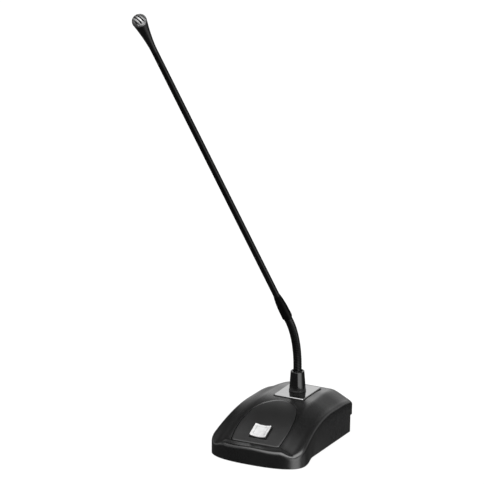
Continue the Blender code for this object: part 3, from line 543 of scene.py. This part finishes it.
# Talk button
# A milky white cap of moulded acrylic in a close well. Its top is dished from side to side, and the edge of
# the light guide behind it shows as a fine frame. It is pressed straight down against the switch.
BUTTON = (14.6 * MM, 13.2 * MM)
BUTTON_RISE = 3 * MM      # its corners above the panel
BUTTON_DISH = 1.5 * MM
BUTTON_SKIRT = 3 * MM     # skirt below the panel's surface
BUTTON_CORNER = 0.7 * MM
BUTTON_EDGE = 0.45 * MM
BUTTON_WALL = 1.2 * MM
HOLLOW_TOP = 0.3 * MM     # of the space inside it, above the panel
BUTTON_SIDE_SHADE = (0.3 * MM, 1.2 * MM)  # painted shade: below its top edge the cap's side is darkened over this stretch, as if shaded in its well
FRAME_SHARE = 0.68        # of the cap's side, where the light guide's edge shows
FRAME_BAND = 0.035        # width of that edge, as a share too
FRAME_STEP = 0.18 * MM    # how far the top is sunk inside it


def acrylic_white():
    made = Finish("milky_acrylic", Metallic=0.0, Coat_Weight=0.3, Coat_Roughness=0.06)
    spot, turn, _ = button_frame.decompose()
    place = made.node("ShaderNodeTexCoord", out="Object")
    place = made.node("ShaderNodeMapping", {"vector_type": "TEXTURE"},
                      {"Vector": place, "Location": spot, "Rotation": turn.to_euler()})
    x, y, z = (made.node("ShaderNodeSeparateXYZ", {}, {"Vector": place}, axis) for axis in "XYZ")
    x, y = x / (BUTTON[0] / 2), y / (BUTTON[1] / 2)
    reach = x.math("MAXIMUM", x.math("ABSOLUTE", x), y.math("ABSOLUTE", y))
    off_line = reach.math("ABSOLUTE", reach - FRAME_SHARE) / FRAME_BAND
    line = 1 - reach.math("MINIMUM", off_line, 1.0)
    # Painted shade: the cap's side is darkened below its top edge, as if shaded in its well.
    below = BUTTON_RISE - BUTTON_DISH * (1 - x * x) - z
    painted_side_shade = (below - BUTTON_SIDE_SHADE[0]) / (BUTTON_SIDE_SHADE[1] - BUTTON_SIDE_SHADE[0])
    painted_side_shade = painted_side_shade.math("MINIMUM", painted_side_shade.math("MAXIMUM", painted_side_shade, 0.0), 1.0)
    clouds = made.grain(3 * MM, 3)
    made.feed("Base Color", (0.62 - 0.27 * line - 0.26 * clouds) * (1 - 0.95 * painted_side_shade))
    made.feed("Roughness", 0.14 + 0.08 * clouds)
    return made


def talk_button():
    def top(x, share):
        lift = BUTTON_RISE - BUTTON_DISH * (1 - (2 * x / BUTTON[0]) ** 2)
        return lift - FRAME_STEP * smooth((FRAME_SHARE + FRAME_BAND - share) / FRAME_BAND)

    inside = [side - 2 * BUTTON_WALL for side in BUTTON]
    hollow, cap = (rectangle(size, BUTTON_CORNER, side_steps=12) for size in (inside, BUTTON))
    rings = [[(0, 0, HOLLOW_TOP)] * len(cap), at_height(hollow, HOLLOW_TOP), at_height(hollow, -BUTTON_SKIRT),
             at_height(cap, -BUTTON_SKIRT)]
    for i in range(5):
        angle = math.pi / 2 * i / 4
        inset, below = BUTTON_EDGE * (1 - math.cos(angle)), BUTTON_EDGE * (1 - math.sin(angle))
        share = 1 - 2 * inset / BUTTON[0]
        rings.append([(x * share, y * share, top(x * share, 1) - below) for x, y in cap])
    frame_shares = [FRAME_SHARE + FRAME_BAND * (1 - i / 4) for i in range(5)]
    for share in [0.92, 0.88, 0.82, 0.77] + frame_shares + [0.6, 0.5, 0.4, 0.3, 0.2, 0.1, 0]:
        rings.append([(x * share, y * share, top(x * share, share)) for x, y in cap])
    button = settle("button_cap", moved(loft(rings), button_frame), acrylic_white(), 40)
    fit(button, "button", "clear_white", "talk_button")


talk_button()
dress(plain_finish("frosted_guide", 0.8, 0.92, 0.35, 0.0, 0.8 * MM), "light_guide")

# Mount plate and the stud that clamps it
# A polished plate let into the top of the spine, with bright bevelled edges. The hollow nickel-plated stud of
# the neck goes down through it and is held inside by a washer and a nut.
PLATE_BEVEL = 0.5 * MM


def mount_plate():
    finish = Finish("polished_plate", Metallic=1.0)
    brushed = finish.grain(0.5 * MM, 3, (0.04, 1, 1))
    finish.tint(brushed, 0.22, 0.27)
    finish.feed("Roughness", 0.05 + 0.06 * brushed)
    finish.relief(brushed, 0.001 * MM)
    low = MOUNT_Z - MOUNT_PLATE[2]
    rings = []
    for inset, z in ((0, low), (0, MOUNT_Z - PLATE_BEVEL), (PLATE_BEVEL, MOUNT_Z)):
        size = [side - 2 * inset for side in MOUNT_PLATE]
        rings.append(at_height(rectangle(size, MOUNT_CORNER - inset, (0, MOUNT_Y)), z))
    ends = [[(0, MOUNT_Y, z)] * len(rings[0]) for z in (low, MOUNT_Z)]
    plate = settle("neck_plate", loft([ends[0]] + rings + [ends[1]]), finish, 20)
    cut(plate, moved(drill(STUD_HOLE_R, low - CUT_PAST, MOUNT_Z + CUT_PAST), at_neck), sharp=20)
    fit(plate, "base", "polished_metal", "mount_plate")


mount_plate()
nickel = plain_finish("nickel_plate", 0.6, 0.72, 0.25, 1.0, 0.5 * MM, 0.006 * MM)
dress(nickel, "neck_stud", "gland_nut")
dress(zinc_plated, "stud_washer", "stud_nut")

# Boot and its foot ring
# A tapered moulded sleeve, semi-gloss black, over the foot of the neck. It stands on the plate with a bead
# round its foot, over a separate ring that has a small notch, and its bore leaves a dark gap round the neck.
BOOT_Z = MOUNT_Z + GAP
BOOT_LOW = MOUNT_Z + 0.05 * MM  # so close to the plate that no light shows under it
BOOT_TOP_Z = BOOT_Z + 17.4 * MM
BOOT_TOP_R = 5.75 * MM
BOOT_BEAD_R = 7.1 * MM
BOOT_BEAD_H = 1.4 * MM
BOOT_LIP = 0.5 * MM
BOOT_BORE_R = 4.3 * MM
RING_R = 6.2 * MM
RING_BORE_R = 5.5 * MM
RING_H = 1.2 * MM
RING_EDGE = 0.25 * MM
NOTCH = (3.7 * MM, 0.8 * MM)
NOTCH_TURN = math.radians(40)


def arc(centre, radius, start, end, steps=5):
    """Points of a quarter or other arc in a turning profile, angles in degrees from the radius outwards."""
    return [(centre[0] + radius * math.cos(a), centre[1] + radius * math.sin(a))
            for a in (math.radians(start + (end - start) * i / steps) for i in range(steps + 1))]


def boot():
    finish = satin_coat("moulded_gloss_black", 0.5 * MM, 0.0015 * MM, 0.16, 0.002, 0.005, 0.56)
    top = BOOT_Z + RING_H
    profile = [(RING_BORE_R, BOOT_Z), (RING_R - RING_EDGE, BOOT_Z)]
    profile += arc((RING_R - RING_EDGE, BOOT_Z + RING_EDGE), RING_EDGE, -90, 0)
    profile += arc((RING_R - RING_EDGE, top - RING_EDGE), RING_EDGE, 0, 90) + [(RING_BORE_R, top)]
    ring = settle("boot_foot", moved(turned(profile, 96), at_neck), finish)
    notch = block((NOTCH[0], 2 * RING_R, NOTCH[1] + CUT_PAST), (0, -RING_R, BOOT_Z - CUT_PAST))
    cut(ring, moved(notch, at_neck @ Matrix.Rotation(NOTCH_TURN, 4, "Z")))
    fit(ring, "base", "boot_black", "boot_ring")

    profile = [(BOOT_BORE_R, top + GAP), (RING_R + GAP, top + GAP), (RING_R + GAP, BOOT_LOW)]
    rim, bead_top = BOOT_BEAD_R - RING_EDGE, BOOT_LOW + BOOT_BEAD_H
    profile += arc((rim, BOOT_LOW + RING_EDGE), RING_EDGE, -90, 0)
    profile += arc((rim, bead_top - RING_EDGE), RING_EDGE, 0, 90)
    profile += [(rim, bead_top + RING_EDGE)]
    profile += arc((BOOT_TOP_R - BOOT_LIP, BOOT_TOP_Z - BOOT_LIP), BOOT_LIP, 0, 90)
    profile += arc((BOOT_BORE_R + BOOT_LIP / 2, BOOT_TOP_Z - BOOT_LIP / 2), BOOT_LIP / 2, 90, 180)
    fit(settle("boot_sleeve", moved(turned(profile, 96), at_neck), finish), "base", "boot_black", "boot")


boot()

# Flexible neck
# A wound steel neck under a tight black skin: one continuous coil of rounded ribs. It rises straight out of
# the boot, bends towards the user and ends in the sleeve. Each skin piece runs across one joint.
NECK_R = 3.5 * MM         # over the ribs
GROOVE_R = 3.05 * MM
NECK_BORE_R = 1.9 * MM
NECK_RISE = 4.4 * MM      # straight stretch above the boot
BEND_R = 73 * MM
LEAN = math.radians(37.6)
NECK_RUN = 4.3 * MM       # straight stretch below the sleeve
JOINTS = 8
LINK = (NECK_RISE + BEND_R * LEAN + NECK_RUN) / JOINTS
PITCH = LINK / 3
NECK_FOOT = LINK / 2 - 6 * PITCH          # where the coil starts, inside the boot
NECK_END = LINK * (JOINTS - 0.5) + 5 * PITCH  # where it ends, inside the sleeve
RIB_ROUND = 7             # exponent of a rib's section
ROWS_PER_RIB = 12
PART_ROW = 0.3            # share of a row by which the bore starts past the end of the skin
NECK_SIDES = 48


def neck_point(s):
    """Place and lean of the neck's centre line, s above the boot."""
    turn = min(max((s - NECK_RISE) / BEND_R, 0.0), LEAN)
    past = max(s - NECK_RISE - BEND_R * LEAN, 0.0)
    y = MOUNT_Y - BEND_R * (1 - math.cos(turn)) - past * math.sin(turn)
    z = BOOT_TOP_Z + min(s, NECK_RISE) + BEND_R * math.sin(turn) + past * math.cos(turn)
    return Vector((0, y, z)), turn


def named_inputs(tree, floats, whole=()):
    """Give a geometry tree its named sizes, its finish and its result."""
    for name in floats:
        tree.interface.new_socket(name, in_out="INPUT", socket_type="NodeSocketFloat")
    for name in whole:
        tree.interface.new_socket(name, in_out="INPUT", socket_type="NodeSocketInt")
    tree.interface.new_socket("Finish", in_out="INPUT", socket_type="NodeSocketMaterial")
    tree.interface.new_socket("Geometry", in_out="OUTPUT", socket_type="NodeSocketGeometry")


def end_tree(made, shape):
    """Close a geometry tree: plain mesh, smooth faces, one finish."""
    shape = made.node("GeometryNodeRealizeInstances", {}, {"Geometry": shape})
    finish = made.node("NodeGroupInput", out="Finish")
    shape = made.node("GeometryNodeSetMaterial", {}, {"Geometry": shape, "Material": finish})
    made.node("NodeGroupOutput", {}, {"Geometry": shape}, None)


def ribbed_tree():
    """A coiled tube along the neck's line. Its grid runs up the outside and back down the bore."""
    group = bpy.data.node_groups.new("ribbed_neck", "GeometryNodeTree")
    sizes = ("Start", "Length", "Pitch", "Crest radius", "Groove radius", "Bore radius", "Rise",
             "Bend radius", "Lean", "Foot y", "Foot z")
    named_inputs(group, sizes, ("Rows", "Sides"))
    made = Tree(group)
    start, length, pitch, crest, groove, bore, rise, bend, lean, foot_y, foot_z, rows, sides = (
        made.node("NodeGroupInput", out=name) for name in sizes + ("Rows", "Sides"))
    grid = made.node("GeometryNodeMeshGrid", {}, {"Size X": 1.0, "Size Y": 1.0, "Vertices X": sides + 1,
                                                  "Vertices Y": 2 * rows + 1})
    place = made.node("GeometryNodeInputPosition")
    u, v = (made.node("ShaderNodeSeparateXYZ", {}, {"Vector": place}, out) + 0.5 for out in ("X", "Y"))
    way = 2 * v
    margin = PART_ROW / rows
    inside = way.math("GREATER_THAN", way, 1 + margin) * way.math("LESS_THAN", way, 2 - margin)
    s = start + length * (1 - way.math("ABSOLUTE", way - 1))
    phase = s.math("FRACT", s / pitch + u)
    rib = 1 - phase.math("ABSOLUTE", 2 * phase - 1) ** RIB_ROUND
    radius = (groove + (crest - groove) * rib) * (1 - inside) + bore * inside
    turn = s.math("MINIMUM", s.math("MAXIMUM", (s - rise) / bend, 0.0), lean)
    past = s.math("MAXIMUM", s - rise - bend * lean, 0.0)
    sin_turn, cos_turn = turn.math("SINE", turn), turn.math("COSINE", turn)
    angle = 2 * math.pi * u
    out = radius * angle.math("SINE", angle)
    y = foot_y - bend * (1 - cos_turn) - past * sin_turn + out * cos_turn
    z = foot_z + s.math("MINIMUM", s, rise) + bend * sin_turn + past * cos_turn + out * sin_turn
    spot = made.node("ShaderNodeCombineXYZ", {}, {"X": radius * angle.math("COSINE", angle), "Y": y, "Z": z})
    shape = made.node("GeometryNodeSetPosition", {}, {"Geometry": grid, "Position": spot})
    shape = made.node("GeometryNodeMergeByDistance", {}, {"Geometry": shape, "Distance": MERGE})
    end_tree(made, shape)
    return group


def grown(name, tree, finish, values, sharp=35):
    """Run a geometry tree with these sizes and keep the result as a plain mesh."""
    made = bpy.data.objects.new(name, bpy.data.meshes.new(name))
    bpy.context.scene.collection.objects.link(made)
    step = made.modifiers.new(name, "NODES")
    step.node_group = tree
    for socket in tree.interface.items_tree:
        if socket.in_out == "INPUT":
            step[socket.identifier] = finish.material if socket.name == "Finish" else values[socket.name]
    bpy.context.view_layer.update()
    mesh = bpy.data.meshes.new_from_object(made.evaluated_get(bpy.context.evaluated_depsgraph_get()))
    bpy.data.objects.remove(made)
    shape = bmesh.new()
    shape.from_mesh(mesh)
    bpy.data.meshes.remove(mesh)
    return settle(name, shape, finish, sharp)


def neck():
    finish = satin_coat("neck_skin", 0.4 * MM, 0.005 * MM, 0.22, 0.0005, 0.0015, 0.16)
    tree = ribbed_tree()
    nodes = ["neck_root"] + [f"neck_link_{k}" for k in range(1, JOINTS)] + ["neck_tip"]
    for k in range(JOINTS):
        start = NECK_FOOT if k == 0 else LINK * k
        end = NECK_END if k == JOINTS - 1 else LINK * (k + 1)
        rows = max(round((end - start) / PITCH * ROWS_PER_RIB), 4)
        values = {"Start": start, "Length": end - start, "Pitch": PITCH, "Crest radius": NECK_R,
                  "Groove radius": GROOVE_R, "Bore radius": NECK_BORE_R, "Rise": NECK_RISE,
                  "Bend radius": BEND_R, "Lean": LEAN, "Foot y": MOUNT_Y, "Foot z": BOOT_TOP_Z,
                  "Rows": rows, "Sides": NECK_SIDES}
        skin = grown(f"neck_skin_{k + 1}", tree, finish, values, 60)
        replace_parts(skin, *(nodes[:2] if k == 0 else nodes[k + 1:k + 2]))
        neck_point(LINK * k)[0]
        neck_point(LINK * (k + 1))[0]
        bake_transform(skin)


neck()

# Sleeve and rod
# A smooth tapered sleeve is pressed over the end of the neck and carries the rod: a long thin straight tube,
# satin black, with the capsule's lead inside it.
SLEEVE_LOW = LINK / 2 + 1.8 * MM  # along the wand, from the last joint
SLEEVE_LEN = 31.4 * MM
SLEEVE_R = 4.3 * MM
SLEEVE_TOP_R = 2.75 * MM
SLEEVE_EASE = 2.8         # exponent of its curve
SLEEVE_EDGE = 0.3 * MM
SLEEVE_STEPS = 24
ROD_R = 2.68 * MM
ROD_BORE_R = 2.2 * MM
ROD_FIT = 0.02 * MM       # between rod and sleeve
ROD_FREE = 355.1 * MM     # from the sleeve to the head
ROD_STEPS = 36
TIP_END = 5 * PITCH       # of the neck, inside the sleeve
SLEEVE_HIGH = SLEEVE_LOW + SLEEVE_LEN
HEAD_LOW = SLEEVE_HIGH + ROD_FREE
spot, turn = neck_point(LINK * (JOINTS - 0.5))
wand_frame = Matrix.Translation(spot) @ Matrix.Rotation(turn, 4, "X")


def sleeve_and_rod():
    finish = satin_coat("sleeve_satin_black", 0.45 * MM, 0.005 * MM, 0.42, 0.001, 0.002, 0.04)
    profile = [(NECK_R + GAP, SLEEVE_LOW)]
    profile += arc((SLEEVE_R - SLEEVE_EDGE, SLEEVE_LOW + SLEEVE_EDGE), SLEEVE_EDGE, -90, 0, 3)
    for i in range(1, SLEEVE_STEPS + 1):
        share = i / SLEEVE_STEPS
        radius = SLEEVE_R + (SLEEVE_TOP_R - SLEEVE_R) * share ** SLEEVE_EASE
        profile.append((radius, SLEEVE_LOW + SLEEVE_LEN * share))
    profile += [(ROD_R + ROD_FIT, SLEEVE_HIGH), (ROD_R + ROD_FIT, TIP_END + GAP), (NECK_R + GAP, TIP_END)]
    sleeve = settle("rod_sleeve", moved(turned(profile, 72), wand_frame), finish)
    fit(sleeve, "wand", "sleeve_black", "neck_sleeve")

    finish = satin_coat("rod_satin_black", 0.6 * MM, 0.004 * MM, 0.32, 0.0005, 0.002, 0.1)
    low, high = TIP_END + GAP, HEAD_LOW - GAP
    outside = [(ROD_R, low + (high - low) * i / ROD_STEPS) for i in range(ROD_STEPS + 1)]
    profile = [(ROD_BORE_R, low)] + outside + [(ROD_BORE_R, high)]
    fit(settle("wand_rod", moved(turned(profile, 64), wand_frame), finish), "wand", "satin_black", "rod_tube")


sleeve_and_rod()

# Head, capsule and grille
# The rod ends in a flared head, moulded satin black. The capsule sits in it on a rubber ring behind a piece
# of foam, and a domed grille with four slots, in grey metal, closes it.
HEAD_LEN = 42 * MM
HEAD_R = 6.2 * MM
HEAD_EASE = 1.7           # exponent of the flare
HEAD_STEPS = 40
HEAD_RIM = 0.3 * MM
HEAD_HIGH = HEAD_LOW + HEAD_LEN
CAPSULE_BORE_R = 4.6 * MM
CAPSULE_LOW = HEAD_HIGH - 9 * MM
SPIGOT_R = 1.9 * MM
SPIGOT_BORE_R = 1.45 * MM
SPIGOT_LEN = 10 * MM
GRILLE_LOW = HEAD_HIGH + GAP
GRILLE_H = 5.4 * MM
GRILLE_T = 0.8 * MM
GRILLE_RIM = 1.1 * MM
GRILLE_SKIRT_R = 4.3 * MM
GRILLE_SKIRT = 2 * MM     # how far the skirt goes down into the head
SLOTS = 4
SLOT_PITCH = 2.5 * MM
SLOT_W = 1.25 * MM
SLOT_END = 0.5 * MM       # left closed at each end of a slot
SLOT_TURN = math.radians(-24)
FOAM_R = 3.6 * MM
FOAM_SKIRT = 2.5 * MM
FOAM_PORE = 0.5 * MM
FOAM_ROUGH = 0.08 * MM


def dome(radius, low, height, steps=20):
    """Points of a dome from its foot to its crown."""
    angles = [math.pi / 2 * i / steps for i in range(steps + 1)]
    return [(radius * max(math.cos(a), 0.0), low + height * math.sin(a)) for a in angles]


def head_shell():
    finish = satin_coat("head_satin_black", 0.45 * MM, 0.006 * MM, 0.36, 0.001, 0.003, 0.22)
    low = HEAD_LOW - SPIGOT_LEN
    profile = [(SPIGOT_BORE_R, low), (SPIGOT_R, low), (SPIGOT_R, HEAD_LOW)]
    for i in range(HEAD_STEPS):
        share = i / HEAD_STEPS
        profile.append((ROD_R + (HEAD_R - ROD_R) * share ** HEAD_EASE, HEAD_LOW + HEAD_LEN * share))
    profile += arc((HEAD_R - HEAD_RIM, HEAD_HIGH - HEAD_RIM), HEAD_RIM, 0, 90, 4)
    profile += [(CAPSULE_BORE_R, HEAD_HIGH), (CAPSULE_BORE_R, CAPSULE_LOW), (SPIGOT_BORE_R, CAPSULE_LOW)]
    head = settle("mic_head", moved(turned(profile, 96), wand_frame), finish)
    fit(head, "wand", "satin_black", "head_shell")


def slot_tree():
    """Bars in a row, each as long as the round grille allows at its place."""
    group = bpy.data.node_groups.new("grille_slots", "GeometryNodeTree")
    sizes = ("Pitch", "Width", "Height", "Radius", "End")
    named_inputs(group, sizes, ("Count",))
    made = Tree(group)
    pitch, width, height, radius, end, count = (
        made.node("NodeGroupInput", out=name) for name in sizes + ("Count",))
    first = made.node("ShaderNodeCombineXYZ", {}, {"Y": pitch * (1 - count) / 2})
    step = made.node("ShaderNodeCombineXYZ", {}, {"Y": pitch})
    row = made.node("GeometryNodeMeshLine", {}, {"Count": count, "Start Location": first, "Offset": step})
    place = made.node("GeometryNodeInputPosition")
    off = made.node("ShaderNodeSeparateXYZ", {}, {"Vector": place}, "Y")
    reach = off.math("SQRT", radius * radius - off * off) - end
    size = made.node("ShaderNodeCombineXYZ", {}, {"X": 2 * reach, "Y": width, "Z": height})
    bar = made.node("GeometryNodeMeshCube")
    bars = made.node("GeometryNodeInstanceOnPoints", {}, {"Points": row, "Instance": bar, "Scale": size})
    end_tree(made, bars)
    return group


def grille():
    finish = Finish("grille_metal", Metallic=1.0)
    wear = finish.grain(0.8 * MM, 3)
    finish.tint(wear, 0.28, 0.38)
    finish.feed("Roughness", 0.42 + 0.12 * wear)
    finish.relief(wear, 0.006 * MM)
    inner = dome(GRILLE_SKIRT_R - GRILLE_T / 2, GRILLE_LOW, GRILLE_H - GRILLE_T)
    outer = dome(HEAD_R, GRILLE_LOW + GRILLE_RIM / 2, GRILLE_H - GRILLE_RIM / 2)
    skirt = GRILLE_LOW - GRILLE_SKIRT
    profile = list(reversed(inner)) + [(GRILLE_SKIRT_R - GRILLE_T / 2, skirt), (GRILLE_SKIRT_R, skirt),
                                       (GRILLE_SKIRT_R, GRILLE_LOW), (HEAD_R, GRILLE_LOW)] + outer
    cap = settle("head_grille", turned(profile, 96), finish)
    values = {"Pitch": SLOT_PITCH, "Width": SLOT_W, "Height": 2 * (GRILLE_H - GRILLE_RIM), "Radius": HEAD_R,
              "End": SLOT_END, "Count": SLOTS}
    bars = grown("grille_slot_bars", slot_tree(), finish, values)
    shape = bmesh.new()
    shape.from_mesh(bars.data)
    bpy.data.objects.remove(bars)
    top = Matrix.Translation((0, 0, GRILLE_LOW + GRILLE_H)) @ Matrix.Rotation(SLOT_TURN, 4, "Z")
    cut(cap, moved(shape, top))
    cap.data.transform(wand_frame)
    fit(cap, "wand", "grille_black", "grille")


def wind_foam():
    finish = plain_finish("open_foam", 0.006, 0.014, 0.9, 0.0, 0.35 * MM, 0.15 * MM)
    low = GRILLE_LOW - FOAM_SKIRT
    profile = [(0, low), (FOAM_R, low)] + dome(FOAM_R, GRILLE_LOW, GRILLE_H - GRILLE_T - GAP)
    shape = turned(profile, 64)
    bmesh.ops.remove_doubles(shape, verts=shape.verts, dist=MERGE)
    for v in shape.verts:
        v.co += (noise.noise(v.co / FOAM_PORE) * FOAM_ROUGH) * v.co.normalized() * Vector((1, 1, 0))
    fit(settle("capsule_foam", moved(shape, wand_frame), finish), "wand", "foam_black", "wind_foam")


head_shell()
grille()
wind_foam()
dress(plain_finish("capsule_can", 0.5, 0.62, 0.3, 1.0), "capsule")
dress(plain_finish("ring_rubber", 0.01, 0.018, 0.6), "capsule_ring")

# Cable outlet
# A moulded gland in the recessed rear wall, with a round collar outside and a nut inside.
# It is where the microphone is wired up.
GLAND_R = 3.6 * MM
GLAND_COLLAR_R = 5 * MM
GLAND_COLLAR_T = 1.6 * MM
GLAND_BORE_R = 2.4 * MM
GLAND_TAIL = 3.6 * MM
GLAND_EDGE = 0.4 * MM


def cable_gland():
    finish = satin_coat("gland_nylon", 0.4 * MM, 0.008 * MM, 0.45, 0.006, 0.012)
    face = WALL + GAP
    profile = [(GLAND_BORE_R, -GLAND_TAIL), (GLAND_R, -GLAND_TAIL), (GLAND_R, face), (GLAND_COLLAR_R, face)]
    profile += arc((GLAND_COLLAR_R - GLAND_EDGE, face + GLAND_COLLAR_T - GLAND_EDGE), GLAND_EDGE, 0, 90)
    profile += arc((GLAND_BORE_R + GLAND_EDGE, face + GLAND_COLLAR_T - GLAND_EDGE), GLAND_EDGE, 90, 180)
    gland = settle("outlet_gland", moved(turned(profile, 72), gland_frame), finish)
    fit(gland, "base", "satin_black", "cable_gland")


cable_gland()

# Studio
# A pale floor in a studio with soft panels on a dim surround, which the black surfaces reflect, and a weak
# light overhead. The camera has a long lens and looks down on the front right corner of the base.
FLOOR_R = 5.0
FLOOR_GLOW = 0.89         # keeps the floor pale where little light falls
DIM = 0.075               # brightness of the surround between its panels
BACKDROP = 1.7            # behind the microphone and to its right
LEFT = 0.9                # a narrow strip behind on the left
SOFTBOX = 5.0             # above the front
RIGHT = 3.0               # low on the right, towards the front
STREAK = 2.2              # lower still on the right, towards the rear
AROUND = 0.9              # a low band from side to side in front
PALE = 1.0                # what the camera sees behind the microphone
OVERHEAD_SIZE, OVERHEAD_UP, OVERHEAD_WATTS = 2.0, 2.5, 5.0
VIEW_TURN, VIEW_TILT = math.radians(27.3), math.radians(20)
VIEW_AIM = Vector((-0.00044, -0.06947, 0.20005))
VIEW_WIDTH = 484 / 1220   # width of the picture at the aim, in metres
VIEW_FROM = 16.0          # distance from the camera to the aim


def floor():
    finish = Finish("studio_floor", Metallic=0.0, Specular_IOR_Level=0.1, Emission_Strength=FLOOR_GLOW)
    mottle = finish.grain(0.3, 2)
    finish.tint(mottle, 0.11, 0.12)
    finish.shader.inputs["Emission Color"].default_value = (1, 1, 1, 1)
    finish.feed("Roughness", 0.8 + 0.1 * mottle)
    ring = [(FLOOR_R * math.cos(a), FLOOR_R * math.sin(a), 0) for a in (math.pi * i / 32 for i in range(64))]
    shape = bmesh.new()
    shape.faces.new([shape.verts.new(point) for point in ring])
    ground = settle("floor", shape, finish)
    ground.visible_glossy = False


def surround():
    """Soft panels on a dim ground, each with the ranges of direction over which it fades in or out along X,
    Y and Z. The camera sees one pale tone."""
    world = bpy.data.worlds.new("studio_surround")
    bpy.context.scene.world = world
    world.use_nodes = True
    sky = Tree(world.node_tree)
    way = sky.node("ShaderNodeTexCoord", out="Generated")
    x, y, z = (sky.node("ShaderNodeSeparateXYZ", {}, {"Vector": way}, axis) for axis in "XYZ")

    def ramp(value, low, high):
        return sky.node("ShaderNodeMapRange", {"interpolation_type": "SMOOTHSTEP"},
                        {"Value": value, "From Min": low, "From Max": high})

    backdrop = BACKDROP * ramp(y + 0.9 * x, 0.2, 0.5) * ramp(z, 0.05, 0.3) * (1 - z) ** 2
    left = LEFT * ramp(x, -0.75, -0.45) * ramp(x, -0.2, -0.42) * ramp(y, 0.6, 0.82)
    left = left * ramp(z, -0.45, 0.25) * ramp(z, 0.6, 0.36)
    softbox = SOFTBOX * ramp(z, 0.45, 0.68) * ramp(y, 0.06, -0.1) * ramp(x, -1.1, 0.3)
    right = RIGHT * ramp(x, 0.45, 0.62) * ramp(y, 0.4, -0.4) * ramp(z, -0.55, -0.4) * ramp(z, 0.15, -0.05)
    streak = STREAK * ramp(x, 0.4, 0.52) * ramp(y, 0.2, 0.4) * ramp(z, -0.38, -0.48)
    around = AROUND * ramp(y, 0.5, 0.1) * ramp(z, 0.1, 0.22) * ramp(z, 0.48, 0.36)
    glow = DIM + backdrop + left + softbox + right + streak + around
    direct = sky.node("ShaderNodeLightPath", out="Is Camera Ray")
    back = world.node_tree.nodes["Background"]
    world.node_tree.links.new((glow * (1 - direct) + PALE * direct).socket, back.inputs["Strength"])
    back.inputs["Color"].default_value = (1, 1, 1, 1)


def overhead_light():
    """A large weak panel for what is matt. It makes no reflections: those come from the surround."""
    data = bpy.data.lights.new("overhead_panel", "AREA")
    data.shape, data.size, data.energy = "SQUARE", OVERHEAD_SIZE, OVERHEAD_WATTS
    made = bpy.data.objects.new("overhead_panel", data)
    made.location.z = OVERHEAD_UP
    made.visible_glossy = False
    bpy.context.scene.collection.objects.link(made)


def camera():
    data = bpy.data.cameras.new("photo_view")
    data.sensor_width = 36.0
    data.lens = data.sensor_width * VIEW_FROM / VIEW_WIDTH
    data.clip_end = 2 * VIEW_FROM
    made = bpy.data.objects.new("photo_view", data)
    back = Vector((math.sin(VIEW_TURN) * math.cos(VIEW_TILT), -math.cos(VIEW_TURN) * math.cos(VIEW_TILT),
                   math.sin(VIEW_TILT)))
    made.location = VIEW_AIM + VIEW_FROM * back
    made.rotation_euler = (-back).to_track_quat("-Z", "Y").to_euler()
    bpy.context.scene.collection.objects.link(made)
    bpy.context.scene.camera = made


floor()
surround()
overhead_light()
camera()
bpy.context.scene.view_settings.view_transform = "Standard"
